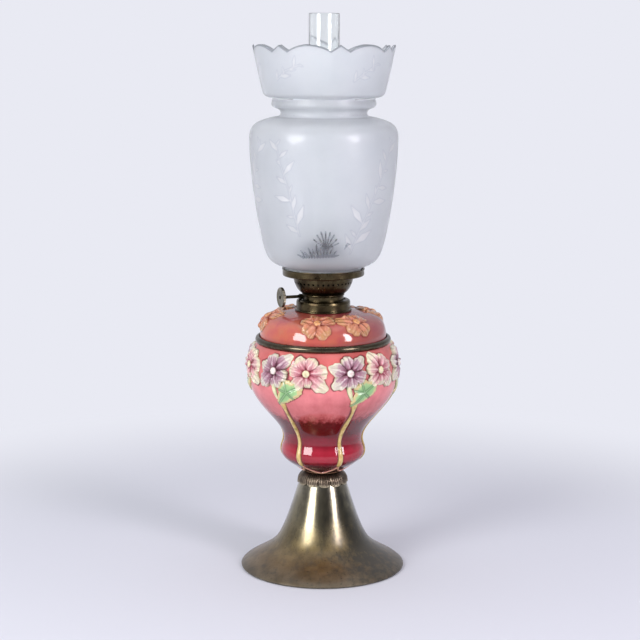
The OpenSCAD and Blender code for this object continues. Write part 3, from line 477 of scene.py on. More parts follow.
# %% [markdown]
# ## Blossoms
# Each stem carries a lilac and a pink blossom that nearly touch. The real petals differ from each other, so
# each is a sheet of its own here, with its own direction, length, width and tip. They lie in two layers and
# overlap a little. One sheet for the whole flower would be shorter to write, but it can't overlap, and it
# looks stamped. The mesh keeps four numbers at each point for the glaze to read: how far out along its
# petal it is, how far across, how near the petal's rim, and its distance from the middle of the flower.

# %% Petals
BUTTON_R = 3.8
PETAL_FOOT = 1.6
petal_share = np.linspace(0, 1, 13) ** 0.8


def petal_outline(direction, length, half, point, angles):
    """A petal's edge about its own middle, in the petal's axes, and that middle's distance from the flower's:
    an oval of the length and width that narrows towards the flower as 1 - 0.72 c^1.2, with a wavy edge, and a
    tip drawn out, or notched, by point * c^9."""
    q = turns(angles)
    ahead, behind = np.clip(np.cos(q), 0, None), np.clip(-np.cos(q), 0, None)
    reach = (length - PETAL_FOOT) / 2
    wavy = 1 + 0.05 * np.cos(5 * q + direction) + 0.04 * np.cos(9 * q - 2 * direction)
    x = reach * np.cos(q) * wavy + point * ahead**9
    blunt = np.sign(np.sin(q)) * np.abs(np.sin(q)) ** 0.8
    y = half * blunt * (1 - 0.72 * behind**1.2) * (1 + 0.12 * np.cos(q)) * wavy
    return x, y, PETAL_FOOT + reach


def petal(direction, length, half, point, thick, layer, angles=60):
    """Girth, rise and height of a petal's sheet, and its four place numbers. The height swells as
    sin(pi u^1.1), turns up at the sides by v^2, tilts by v, rises in ribs by cos(2.4 pi v), rounds off at the
    rim, and closes under itself."""
    x, y, middle = petal_outline(direction, length, half, point, angles)
    share = folded_under(petal_share)
    along, aside = middle + x[:, None] * share, y[:, None] * share
    u, v = along / length, aside / half
    swell = 0.34 + 0.56 * np.sin(np.pi * np.clip(u, 0, 1) ** 1.1)
    side = 0.55 * v**2 * u + 0.42 * v * u
    ribs = 0.27 * np.cos(2.4 * np.pi * v) * np.sin(np.pi * np.clip(u, 0, 1))
    height = (thick * (swell + side + ribs) + layer) * (1 - 0.55 * share**7)
    height[:, -3:] = -SUNK
    turn = np.radians(direction)
    girth = along * np.cos(turn) - aside * np.sin(turn)
    rise = along * np.sin(turn) + aside * np.cos(turn)
    rim = np.broadcast_to(share, u.shape)
    return np.stack([girth, rise, height, u, v, rim, np.hypot(girth, rise)])


# %% Flowers
def button(thick, angles=60):
    """The middle of a flower: a half ball with a grain of small bumps."""
    q, share = turns(angles)[:, None], folded_under(petal_share)
    r = BUTTON_R * share * (1 + 0 * q)
    grain = 0.12 * np.cos(7 * q) * np.sin(np.pi * share * 2)
    height = thick * (0.7 + np.sqrt(np.clip(1 - share**2, 0, None)) + grain)
    height[:, -3:] = -SUNK
    return np.stack([r * np.cos(q), r * np.sin(q), height, 0 * r, 0 * r, 0 * r, r])


def blossoms(wall, azimuths, along, petals, thick):
    """Points of flowers of one kind, one at each azimuth, and their place numbers. No two are alike: each
    petal is longer or shorter by a share that goes with its flower and its place in the flower."""
    sheets = [petal(*sizes, thick, 0.45 * thick * (k % 2)) for k, sizes in enumerate(petals)]
    girth, rise, height, u, v, rim, radius = np.moveaxis(np.array(sheets + [button(thick)]), 1, 0)
    flower = np.arange(len(azimuths))[:, None, None, None]
    sheet = np.arange(len(sheets) + 1)[None, :, None, None]
    vary = 1 + 0.07 * np.cos(2.4 * flower + 1.9 * sheet) * (sheet < len(sheets))
    azimuths = np.array(azimuths, float)[:, None, None, None]
    points = on_wall(wall, azimuths, girth * vary, along + rise * vary, height + 0 * vary)
    return points, {"out": u[None], "across": v[None], "rim": rim[None], "radius": radius[None]}


def flower_reach(petals, bins=180):
    """How far a flower reaches in each direction: the farthest point of any petal's edge there."""
    edges = []
    for direction, length, half, point in petals:
        x, y, middle = petal_outline(direction, length, half, point, 900)
        edges.append((middle + x + 1j * y) * np.exp(1j * np.radians(direction)))
    edges = np.concatenate(edges)
    reach = np.full(bins, BUTTON_R)
    np.maximum.at(reach, (np.angle(edges) % TAU / TAU * bins).astype(int) % bins, np.abs(edges))
    return np.append(reach, reach[0])


# %% Petals of the two kinds
# Direction, length, half width and tip of each petal, seen from outside: girth runs to the viewer's right
LILAC_PETALS = [(43, 21.0, 6.5, 2.4), (101, 18.0, 6.3, -0.8), (163, 18.5, 6.6, 2.0), (221, 21.0, 7.0, 2.6),
                (281, 17.5, 6.5, -0.6), (340, 18.5, 6.4, -1.6)]
PINK_PETALS = [(6, 21.0, 7.0, -2.0), (63, 17.5, 6.6, -0.7), (121, 18.5, 6.8, 1.8), (170, 17.5, 5.8, -1.0),
               (229, 19.0, 7.0, 1.8), (275, 14.5, 5.8, 0.6), (319, 23.5, 7.4, 3.0)]
LILAC_SIDE, PINK_SIDE = -5.5, 21.5
LILAC_THICK, PINK_THICK = 2.5, 2.7
BLOSSOM_RISE = 115
blossom_along = np.interp(vase_z + BLOSSOM_RISE, vase_wall[:, 2], vase_wall[:, 0])
print("petals:", len(LILAC_PETALS), "lilac,", len(PINK_PETALS), "pink")


# %% Blossom glazes
def blossom_glaze(name, ramp, rib_highlight, crease, edge, middle):
    """Lead glaze over painted petals: gloss with soft pools of colour. A ramp runs from the foot of a petal
    to its tip. Pale ribs along it are a painted highlight on the ridges, and dark lines between them are
    painted shade in the valleys, darkest near the petal's foot. The edge is pale at the tip, where the glaze
    ran thin, and dark between petals, where it gathered."""
    made, tree, place, shader = new_finish(name, Roughness=0.12, IOR=1.58, Coat_Weight=0.8,
                                           Coat_Roughness=0.05)
    out, across, rim, radius = (add(tree, "Attribute", attribute_name=label, out="Fac")
                                for label in ("out", "across", "rim", "radius"))
    brush = add(tree, "TexNoise", {"Vector": place, "Scale": per(3.2), "Detail": 5.0, "Roughness": 0.6})
    cloud = add(tree, "TexNoise", {"Vector": place, "Scale": per(9), "Detail": 3.0})
    spread = add(tree, "Math", {0: cloud, 1: 0.5, 2: out}, operation="MULTIPLY_ADD")
    petal_colour = add(tree, "ValToRGB", {"Fac": spread}, ramp)
    loose = add(tree, "Math", {0: brush, 1: 0.5}, operation="SUBTRACT")
    wander = add(tree, "Math", {0: loose, 1: 6.0}, operation="MULTIPLY")
    comb = add(tree, "Math", {0: across, 1: 7.5, 2: wander}, operation="MULTIPLY_ADD")
    wave = add(tree, "Math", {0: comb}, operation="COSINE")
    high = add(tree, "MapRange", {"Value": wave, "From Min": 0.45, "From Max": 0.95})
    low = add(tree, "MapRange", {"Value": wave, "From Min": -0.3, "From Max": -0.9})
    ribbed = add(tree, "ValToRGB",
                 {"Fac": out}, [(0.2, BLACK), (0.36, "#a8a8a8"), (0.8, "#8c8c8c"), (1.0, BLACK)])
    patchy = add(tree, "MapRange",
                 {"Value": cloud, "From Min": 0.38, "From Max": 0.6, "To Min": 0.35, "To Max": 1.25})
    uneven = add(tree, "Math", {0: high, 1: patchy}, operation="MULTIPLY")
    pale = add(tree, "Math", {0: uneven, 1: ribbed}, operation="MULTIPLY")
    # Painted highlight: the pale rib colour lies on the ridges of the petals' ribs
    with_rib_highlights = add(tree, "MixRGB", {"Fac": pale, "Color1": petal_colour, "Color2": linear(rib_highlight)})
    inner = add(tree, "ValToRGB", {"Fac": out}, [(0.3, "#d0d0d0"), (0.55, "#707070"), (0.8, BLACK)])
    dark = add(tree, "Math", {0: low, 1: inner}, operation="MULTIPLY")
    # Painted shade: dark lines in the valleys between the ribs, strongest near the petal's foot
    with_valley_shade = add(tree, "MixRGB", {"Fac": dark, "Color1": with_rib_highlights, "Color2": linear(crease)})
    worn = add(tree, "Math", {0: brush, 1: 0.36, 2: rim}, operation="MULTIPLY_ADD")
    thin = add(tree, "MapRange", {"Value": worn, "From Min": 0.94, "From Max": 1.14, "To Max": 0.9})
    tip = add(tree, "ValToRGB", {"Fac": out}, [(0.5, crease), (0.68, edge)])
    with_edge = add(tree, "MixRGB", {"Fac": thin, "Color1": with_valley_shade, "Color2": tip})
    ring = add(tree, "MapRange", {"Value": radius, "From Min": BUTTON_R, "From Max": BUTTON_R * 1.5,
                                  "To Min": 0.85, "To Max": 0.0})
    ringed = add(tree, "MixRGB", {"Fac": ring, "Color1": with_edge, "Color2": linear(crease)})
    inside = add(tree, "MapRange", {"Value": radius, "From Min": BUTTON_R * 0.8, "From Max": BUTTON_R,
                                    "To Min": 1.0, "To Max": 0.0})
    spotted = add(tree, "ValToRGB", {"Fac": brush}, [(0.32, edge), (0.5, middle)])
    colour = add(tree, "MixRGB", {"Fac": inside, "Color1": ringed, "Color2": spotted})
    dimple = add(tree, "Math", {0: brush, 1: 2.0, 2: wave}, operation="MULTIPLY_ADD")
    bump = add(tree, "Bump", {"Height": dimple, "Strength": 0.9, "Distance": 0.5 * MM})
    connect(tree, shader, Base_Color=colour, Normal=bump, Coat_Normal=bump)
    return made


lilac_glaze = blossom_glaze(
    "lilac_majolica_glaze",
    [(0.3, "#7a3048"), (0.5, "#9a5c74"), (0.75, "#b08092"), (1.0, "#c8aaac"), (1.25, "#d6cabb")],
    rib_highlight="#f3ebe8", crease="#5c1a30", edge="#dedbbc", middle="#f1e2dc")
pink_glaze = blossom_glaze(
    "pink_majolica_glaze",
    [(0.3, "#a83a4e"), (0.5, "#c96c7c"), (0.75, "#dc9ca2"), (1.0, "#e3c0b4"), (1.25, "#e3d4b8")],
    rib_highlight="#f4e8de", crease="#8c2a3c", edge="#e3dcba", middle="#ece0b6")
print("blossom glazes:", lilac_glaze.name, pink_glaze.name)

# %% Blossoms on the vase
for label, side, petals, thick, finish in (
        ("lilac_blossoms", LILAC_SIDE, LILAC_PETALS, LILAC_THICK, lilac_glaze),
        ("pink_blossoms", PINK_SIDE, PINK_PETALS, PINK_THICK, pink_glaze)):
    points, places = blossoms(vase_wall, stem_azimuths + side, blossom_along, petals, thick)
    piece(label, points, finish, "stand", "blossom_glaze", "blossom_sprigs", sharp=60, **places)

# %% [markdown]
# ## Leaves, stems and vines
# A broad pointed leaf, pressed in along its veins, covers the place where the two blossoms leave the stem.
# The stem runs down a meridian to the bulge, with a bud beside it, and splits into two vines that close the
# foot of each panel. The leaf is a polar sheet on the wall. Stems are flat ribbons of clay, so their
# section is half an ellipse carried along a path; a round section would stand out from the side of the vase
# like a wire.

# %% Leaf shape
LEAF_SIDE, LEAF_DOWN, LEAF_THICK = 6.0, 20.5, 2.2
# Direction and reach of the leaf's points and of the hollows between them
LEAF_EDGE = [(28, 19.5), (60, 12), (98, 13), (128, 10.5), (160, 11.5), (186, 9.5), (208, 13), (230, 19.5),
             (250, 13), (285, 9), (325, 10), (388, 19.5)]
LEAF_VEINS = [28, 104, 166, 230, 318]
VEIN_DEPTH, VEIN_WIDTH, FAR_FROM_VEIN = 0.9, 1.3, 5

leaf_angle = turns(180)
edge_at, edge_reach = np.array(LEAF_EDGE, float).T
leaf_reach = np.interp(np.degrees(leaf_angle), np.concatenate([[edge_at[-2] - 360], edge_at]),
                       np.concatenate([[edge_reach[-2]], edge_reach]))
leaf_reach = leaf_reach * (1 + 0.025 * np.cos(23 * leaf_angle) + 0.02 * np.cos(9 * leaf_angle))
leaf_share = np.linspace(0, 1, 24) ** 0.9
toward = (leaf_angle[:, None] - np.radians(LEAF_VEINS) + np.pi) % TAU - np.pi
off_vein = np.where(np.abs(toward) < np.pi / 2, np.abs(np.sin(toward)), 1).min(1)
leaf_r = leaf_reach[:, None] * leaf_share
vein_gap = leaf_r * off_vein[:, None]
puff = 2.0 * np.cos(3 * leaf_angle + 0.6)[:, None] * leaf_share * (1 - leaf_share)
leaf_height = (LEAF_THICK * (0.95 - 0.25 * leaf_share**2) + puff) * (1 - 0.5 * leaf_share**14)
leaf_height = leaf_height - VEIN_DEPTH * np.exp(-((vein_gap / VEIN_WIDTH) ** 2)) * leaf_share
leaf_points = sprig(vase_wall, stem_azimuths + LEAF_SIDE, blossom_along - LEAF_DOWN, leaf_angle, leaf_reach,
                    leaf_share, leaf_height)
full_share = np.concatenate([leaf_share, [1, 1, 1]])
full_gap = np.concatenate([vein_gap, np.full((len(leaf_angle), 3), FAR_FROM_VEIN)], 1)
print("leaf reach:", leaf_reach.min().round(1), "to", leaf_reach.max().round(1), "mm")

# %% Leaf glaze
# Green lead glaze gathers dark beside the veins, and that dark also paints the shade in the pressed creases;
# it thins along the veins and wears to straw at the rim
leaf_glaze, tree, place, shader = new_finish("leaf_majolica_glaze", Roughness=0.14, IOR=1.58, Coat_Weight=0.4,
                                             Coat_Roughness=0.05)
share = add(tree, "Attribute", attribute_name="share", out="Fac")
gap = add(tree, "Attribute", attribute_name="vein_gap", out="Fac")
brush = add(tree, "TexNoise", {"Vector": place, "Scale": per(4), "Detail": 5.0, "Roughness": 0.6})
worn = add(tree, "Math", {0: brush, 1: 0.55, 2: share}, operation="MULTIPLY_ADD")
green = add(tree, "ValToRGB", {"Fac": worn},
            [(0.3, "#71a468"), (0.75, "#8fb97c"), (1.1, "#a8c88a"), (1.28, "#c3cb98"), (1.42, "#cdbb86")])
vein_pool_and_shade = add(tree, "MapRange",
                  {"Value": gap, "From Min": 0.7, "From Max": 1.9, "To Min": 0.75, "To Max": 0.0})
# Painted shade beside the veins, together with the glaze pooled there
shaded = add(tree, "MixRGB", {"Fac": vein_pool_and_shade, "Color1": green, "Color2": linear("#41703f")})
on_vein = add(tree, "MapRange",
              {"Value": gap, "From Min": 0.3, "From Max": 0.7, "To Min": 0.5, "To Max": 0.0})
veined = add(tree, "MixRGB", {"Fac": on_vein, "Color1": shaded, "Color2": linear("#a9c796")})
bump = add(tree, "Bump", {"Height": brush, "Strength": 0.7, "Distance": 0.8 * MM})
connect(tree, shader, Base_Color=veined, Normal=bump)
piece("vase_leaves", leaf_points, leaf_glaze, "stand", "leaf_glaze", "leaf_sprigs", sharp=50,
      share=full_share, vein_gap=full_gap[None])


# %% Stalks
def stalk(wall, azimuths, girth, along, half, rise, sides=18):
    """A ribbon of clay along a path (girth, along) on the wall, and its place across: each section is half an
    ellipse, half wide to each side and rise high, sunk a little below. Both fall to nothing at the ends."""
    taper = np.sqrt(np.clip(np.sin(np.linspace(0, np.pi, len(along))) * 6, 0, 1))
    path = np.stack([girth, along], 1)
    ahead = np.gradient(path, axis=0)
    ahead /= np.linalg.norm(ahead, axis=1)[:, None]
    q = turns(sides)[None, :]
    aside = (half * taper)[:, None] * np.cos(q)
    lift = (taper * rise)[:, None] * np.maximum(np.sin(q), 0) - SUNK * (np.sin(q) < 1e-6)
    x = girth[:, None] - ahead[:, 1:] * aside
    s = along[:, None] + ahead[:, :1] * aside
    azimuths = np.array(azimuths, float)[:, None, None]
    return on_wall(wall, azimuths, x[None], s[None], lift[None]), np.cos(q)[None]


def along_at(z):
    """Distance along the vase's wall to a height."""
    return np.interp(z, vase_wall[:, 2], vase_wall[:, 0])


# %% Stems, vines and buds
STEM_HALF, STEM_RISE, VINE_HALF, VINE_RISE, BUD_RISE = 2.15, 1.25, 1.25, 0.85, 1.5
BUD_LONG, BUD_OVERLAP = 19, 1
STEM_TOP_DROP, STEM_FOOT_H, VINE_FOOT_H, VINE_OVERLAP = 28.0, 9.0, 0.6, 2
t = np.linspace(0, 1, 60)
stem_top, stem_foot = blossom_along - STEM_TOP_DROP, along_at(vase_z + STEM_FOOT_H)
stem_along = stem_top + (stem_foot - stem_top) * t
stem_girth = 1.6 * np.sin(TAU * 1.1 * t) * (1 - t) - 0.5
knot = 1.5 * np.exp(-(((t - 0.07) / 0.06) ** 2))
stem_half = STEM_HALF * (0.85 + 0.3 * t + 0.18 * np.cos(TAU * 2.3 * t)) + knot
stems = stalk(vase_wall, stem_azimuths, stem_girth, stem_along, stem_half, STEM_RISE)
bend = np.linspace(0, 1, 50)
half_panel = np.radians(STEM_STEP / 2)
vine_top = stem_foot + VINE_OVERLAP
vine_along = vine_top - (vine_top - along_at(vase_z + VINE_FOOT_H)) * np.sin(bend * np.pi / 2) ** 0.9
vine_radius = np.interp(vine_along, vase_wall[:, 0], vase_wall[:, 1])
vine_girth = half_panel * vine_radius * (1 - np.cos(bend * np.pi / 2)) ** 0.75
vine_half = VINE_HALF * (1.2 - 0.3 * bend)
vines = [stalk(vase_wall, stem_azimuths, side * vine_girth, vine_along, vine_half, VINE_RISE)
         for side in (-1, 1)]
bud_t = np.linspace(0, 1, 40)
bud_along = stem_top - BUD_OVERLAP + BUD_LONG * bud_t
bud_girth = -3.4 - 7.2 * bud_t**0.8 + 1.5 * bud_t**3
bud_half = 1.2 + 1.6 * np.sin(np.pi * bud_t**1.3)
buds = stalk(vase_wall, stem_azimuths, bud_girth, bud_along, bud_half, BUD_RISE)
print("stem:", round(stem_top - stem_foot, 1), "mm long")


# %% Stem glazes
def stem_glaze(name, ramp, edge):
    """Lead glaze over a brushed stem: the ramp's colours along its back, where the glaze is thin, and a
    deeper colour in its edges, where glaze gathered and where painted shade darkens the ribbon's sides."""
    made, tree, place, shader = new_finish(name, Roughness=0.16, IOR=1.58, Coat_Weight=0.4,
                                           Coat_Roughness=0.05)
    across = add(tree, "Attribute", attribute_name="across", out="Fac")
    brush = add(tree, "TexNoise", {"Vector": place, "Scale": per(6), "Detail": 5.0})
    straw = add(tree, "ValToRGB", {"Fac": brush}, ramp)
    side = add(tree, "Math", {0: across}, operation="ABSOLUTE")
    ragged = add(tree, "Math", {0: brush, 1: 0.5, 2: side}, operation="MULTIPLY_ADD")
    low = add(tree, "MapRange", {"Value": ragged, "From Min": 0.9, "From Max": 1.2, "To Max": 0.8})
    # Painted shade: the sides of the ribbon darken, along with the glaze gathered there
    colour = add(tree, "MixRGB", {"Fac": low, "Color1": straw, "Color2": linear(edge)})
    connect(tree, shader, Base_Color=colour)
    return made


straw_glaze = stem_glaze(
    "straw_majolica_glaze",
    [(0.32, "#9c8f4c"), (0.46, "#cbab66"), (0.58, "#d8be80"), (0.72, "#c9b56c")], edge="#94713e")
vine_glaze = stem_glaze(
    "rose_vine_majolica_glaze", [(0.34, "#c98a72"), (0.5, "#dba98c"), (0.68, "#d8b98a")], edge="#b0505a")
bud_glaze = stem_glaze(
    "bud_majolica_glaze", [(0.34, "#a9bd86"), (0.5, "#dcd9ae"), (0.68, "#ebe0bd")], edge="#6f6a3c")
for label, (points, across), finish in (
        ("vase_stems", stems, straw_glaze), ("vine_left", vines[0], vine_glaze),
        ("vine_right", vines[1], vine_glaze), ("vase_buds", buds, bud_glaze)):
    piece(label, points, finish, "stand", "stem_glaze", "stem_sprigs", sharp=60, across=across)

# %% [markdown]
# ## The vase's own wall
# The glaze is salmon pink above and was flooded with crimson below, with a ragged brushed edge between
# them. Its crimson is painted darker on the underside and lighter on the bulge, as painted shade and
# painted light. It ran into the grooves beside the relief and shows there as a dark outline. The outline
# needs no drawing: each point of the wall knows how far it is from the nearest sprig, and the glaze
# darkens, and sinks a little, where that is under a millimetre or two.


# %% Pooling beside the relief
POOL_WIDTH, POOL_DEPTH = 1.1, 0.25


def beside(x, s, middle, reach):
    """Distance from a place (x, s) to a sprig's outline, measured from its middle; negative inside it."""
    dx, ds = x - middle[0], s - middle[1]
    r, q = np.hypot(dx, ds), np.arctan2(ds, dx) % TAU
    return r - np.interp(q, np.linspace(0, TAU, len(reach)), reach)


def pooled(wall, angle, run, gaps):
    """Points of a wall that sinks a little beside its relief, and how much glaze lies there, which is
    exp(-(gap / width)^2) of the least gap."""
    pool = np.exp(-((np.clip(np.min(gaps, 0), 0, None) / POOL_WIDTH) ** 2))
    return on_wall(wall, np.degrees(angle)[:, None], 0, run[None, :], -POOL_DEPTH * pool), pool


# %% Vase shape
a = turns(480)
run = np.linspace(0, vase_wall[-1, 0], 150)
radius = np.interp(run, vase_wall[:, 0], vase_wall[:, 1])
to_stem = (np.degrees(a)[:, None] - FIRST_STEM + STEM_STEP / 2) % STEM_STEP - STEM_STEP / 2
gaps = []
for turn in (-STEM_STEP, 0, STEM_STEP):
    for side, reach, middle in ((LILAC_SIDE, flower_reach(LILAC_PETALS), blossom_along),
                                (PINK_SIDE, flower_reach(PINK_PETALS), blossom_along),
                                (LEAF_SIDE, leaf_reach, blossom_along - LEAF_DOWN)):
        x = np.radians(to_stem - side - turn) * radius
        gaps.append(beside(x, run[None, :], (0, middle), reach))
STEM_EDGE, FAR = STEM_HALF + 0.5, 99
stem_middle = np.interp(run, stem_along[::-1], stem_girth[::-1])
beside_stem = np.abs(np.radians(to_stem) * radius - stem_middle) - STEM_EDGE
gaps.append(np.where((run > stem_foot) & (run < stem_top), beside_stem, FAR))
wall_points, pool = pooled(vase_wall, a, run, gaps)
floor_z = vase_z + VASE_WALL + 1
inside = shifted(vase_line, VASE_WALL)
inside = inside[(inside[:, 1] > floor_z) & (inside[:, 1] < vase_top)][::-5]
floor_line = [(inside[-1, 0], floor_z), (ROD_ROOM_R, floor_z), (ROD_ROOM_R, vase_z), VASE_BASE]
inner_line = np.concatenate([[(VASE_RIM[0] - VASE_WALL, vase_top)], inside, floor_line])
inner_points = turned(inner_line, 480)
vase_points = np.concatenate([wall_points, inner_points], 1)
vase_pool = np.concatenate([pool, np.zeros(inner_points.shape[:2])], 1)
print("vase:", vase_points.shape[:2], "points")

# %% Vase glaze
# Lead glaze is as smooth as window glass, so it shows the lamps as white shapes with sharp edges
vase_glaze, tree, place, shader = new_finish("crimson_majolica_glaze", Roughness=0.05, IOR=1.52,
                                             Coat_Weight=0.25, Coat_Roughness=0.03)
streaky = add(tree, "Mapping", {"Vector": place, "Scale": (1, 1, 0.14)})
streak = add(tree, "TexNoise", {"Vector": streaky, "Scale": per(3.2), "Detail": 5.0, "Roughness": 0.62})
cloud = add(tree, "TexNoise", {"Vector": place, "Scale": per(24), "Detail": 4.0})
height = add(tree, "SeparateXYZ", {"Vector": place}, out="Z")
level = add(tree, "MapRange", {"Value": height, "From Min": vase_z * MM, "From Max": vase_top * MM})
brushed = add(tree, "Math", {0: streak, 1: 0.5}, operation="SUBTRACT")
loose = add(tree, "MapRange",
            {"Value": level, "From Min": 0.34, "From Max": 0.44, "To Min": 0.03, "To Max": 0.15})
ragged = add(tree, "Math", {0: brushed, 1: loose, 2: level}, operation="MULTIPLY_ADD")
# Besides the glaze's own pink and crimson, the darkest stops under the bulge are painted shade and the
# lighter stops on the bulge are painted light
painted = add(tree, "ValToRGB", {"Fac": ragged}, [
    (0.0, "#3c0610"), (0.06, "#470712"), (0.1, "#701326"), (0.125, "#9c1c30"), (0.2, "#ab283b"),
    (0.25, "#7c1325"), (0.3, "#7a1324"), (0.335, "#5e0c15"), (0.445, "#640d15"), (0.47, "#9c3c40"),
    (0.52, "#cc6a6c"), (0.68, "#e08286"), (0.84, "#da7778"), (1.0, "#d06c66")])
tint = add(tree, "ValToRGB", {"Fac": cloud}, [(0.34, "#e2cfcf"), (0.62, WHITE)])
washed = add(tree, "MixRGB", {"Fac": 1.0, "Color1": painted, "Color2": tint}, blend_type="MULTIPLY")
gathered = add(tree, "Attribute", attribute_name="pool", out="Fac")
deep = add(tree, "MapRange", {"Value": gathered, "From Min": 0.2, "From Max": 0.85, "To Max": 0.88})
colour = add(tree, "MixRGB", {"Fac": deep, "Color1": washed, "Color2": linear("#6a1f2b")})
ripple = add(tree, "TexNoise", {"Vector": place, "Scale": per(11), "Detail": 2.0})
bump = add(tree, "Bump", {"Height": ripple, "Strength": 0.3, "Distance": 0.35 * MM})
connect(tree, shader, Base_Color=colour, Normal=bump, Coat_Normal=bump)
piece("relief_vase", vase_points, vase_glaze, "stand", "vase_glaze", "vase", pool=vase_pool)

# %% [markdown]
# ## Rim ring
# A pressed brass ring sits on the mouth of the vase. Outside it is a half-round moulding; inside, a ledge
# carries the font and a skirt keeps it central. They could be three rings, but one outline with eased
# corners gives all three without a seam.

# %% Rim ring
ring_low, ring_high = box("rim_ring")
BEAD_R, BEAD_AT_R, LEDGE_RISE = 3.4, 66.3, 1.6
RING_IN_R, SKIRT_IN_R, SKIRT_OUT_R = 66.0, 61.9, 63.1
half_turn = np.linspace(-np.pi / 2, np.pi / 2, 15)
bead = np.array([BEAD_AT_R, vase_top + BEAD_R]) + BEAD_R * np.stack([np.cos(half_turn), np.sin(half_turn)], 1)
ledge = vase_top + LEDGE_RISE
ring_inside = eased([
    (RING_IN_R, ring_high[2]), (RING_IN_R, ledge), (SKIRT_IN_R, ledge), (SKIRT_IN_R, ring_low[2]),
    (SKIRT_OUT_R, ring_low[2]), (SKIRT_OUT_R, vase_top)], 0.3)
ring_outline = np.concatenate([bead, ring_inside[2:]])
piece("rim_ring_moulding", turned(closed(ring_outline), 256), ring_brass, "stand", "ring_metal", "rim_ring")

# %% [markdown]
# ## Oil font
# The font drops into the vase: a low dome with three pairs of flowers above the ring, and a plain bowl out
# of sight. Its glaze is a thin honey over red, so it looks lighter on every raised edge and pools dark
# beside the petals. Flowers copied from the vase would not fit the dome, so the same petal functions serve
# again on its wall.

# %% Dome
font_z, font_high = box("font_bowl")[0][2], box("oil_font")[1]
DOME_R, DOME_EDGE_H, DOME_H, CREST_R, DOME_EASE = font_high[0], 3.0, 31.5, 26.2, 0.6
BOWL_R, FONT_WALL, FONT_NECK_R = 60.5, 4.0, 22.5
BOWL_FOOT_R, BOWL_DROP = BOWL_R * 0.42, 16.2
FONT_PAIRS, FONT_PAIR_AZIMUTH, FONT_PAIR_HALF, FONT_PAIR_PLACE = 3, 285, 21, 0.46
FONT_PETALS = [(30, 18, 7.6, -1), (96, 16, 7.2, 0.8), (160, 18.5, 7.6, 1), (228, 17, 7.8, -0.8),
               (304, 17.5, 8, 1)]
FONT_PETAL_THICK = 2.2
FONT_SEGMENTS = 420

crest_z, neck_in_r = ledge + DOME_H, FONT_NECK_R - FONT_WALL
dome_line = curve((DOME_R, ledge + DOME_EDGE_H), 90, 0.55, (CREST_R, crest_z), 172, 0.5, 60)
dome_wall = wall_of(dome_line)
font_blossom_along = dome_wall[-1, 0] * FONT_PAIR_PLACE
font_azimuths = [FONT_PAIR_AZIMUTH + 360 / FONT_PAIRS * k + side * FONT_PAIR_HALF
                 for k in range(FONT_PAIRS) for side in (-1, 1)]
a = turns(FONT_SEGMENTS)
dome_run = np.linspace(0, dome_wall[-1, 0], 64)
dome_radius = np.interp(dome_run, dome_wall[:, 0], dome_wall[:, 1])
font_reach = flower_reach(FONT_PETALS)
away = [np.radians((np.degrees(a)[:, None] - q + 180) % 360 - 180) * dome_radius for q in font_azimuths]
gaps = [beside(x, dome_run[None, :], (0, font_blossom_along), font_reach) for x in away]
dome_points, dome_pool = pooled(dome_wall, a, dome_run, gaps)
print("dome:", dome_points.shape[:2], "points")

# %% Bowl and neck
bowl_line = curve((BOWL_FOOT_R, font_z), 8, 0.5, (BOWL_R, ledge - BOWL_DROP), 90, 0.45, 24)
dome_foot = [(BOWL_R, ledge), (DOME_R - DOME_EASE, ledge), (DOME_R, ledge + DOME_EASE)]
lower_line = np.concatenate([[(0, font_z)], bowl_line, dome_foot])
upper_line = np.array([(FONT_NECK_R, crest_z), (FONT_NECK_R, font_high[2]), (neck_in_r, font_high[2])])
dome_in = shifted(dome_line, FONT_WALL)[::6]
dome_in = dome_in[(dome_in[:, 0] > neck_in_r) & (dome_in[:, 0] < BOWL_R - FONT_WALL)][::-1]
bowl_in = shifted(bowl_line, FONT_WALL)[::3]
bowl_in = bowl_in[bowl_in[:, 1] > font_z + FONT_WALL][::-1]
hollow_line = np.concatenate([
    [(neck_in_r, crest_z - FONT_WALL)], dome_in, [(BOWL_R - FONT_WALL, ledge + FONT_WALL)], bowl_in,
    [(0, font_z + FONT_WALL)]])
below, above, hollow = (turned(line, FONT_SEGMENTS) for line in (lower_line, upper_line, hollow_line))
font_points = np.concatenate([below, dome_points, above, hollow], 1)
font_pool = np.concatenate([0 * below[..., 0], dome_pool, 0 * above[..., 0], 0 * hollow[..., 0]], 1)
print("font:", font_points.shape[:2], "points")

# %% Font glaze
honey_glaze, tree, place, shader = new_finish("honey_majolica_glaze", Roughness=0.08, IOR=1.62)
cloud = add(tree, "TexNoise", {"Vector": place, "Scale": per(20), "Detail": 4.0, "Roughness": 0.6})
wash = add(tree, "ValToRGB", {"Fac": cloud},
           [(0.3, "#a84a50"), (0.45, "#b85d55"), (0.6, "#be6852"), (0.75, "#b5735c")])
axes = add(tree, "SeparateXYZ", {"Vector": place}).node.outputs
level = add(tree, "MapRange", {"Value": axes["Z"], "From Min": ledge * MM, "From Max": crest_z * MM})
# Darker towards the rim at the bottom, and violet-grey at the top as a painted reflection
low_tint_and_top_sheen = add(tree, "ValToRGB",
            {"Fac": level}, [(0.02, "#b8707c"), (0.3, "#fff2f2"), (0.7, WHITE), (1.0, "#d2b0c0")])
wash = add(tree, "MixRGB", {"Fac": 1.0, "Color1": wash, "Color2": low_tint_and_top_sheen}, blend_type="MULTIPLY")
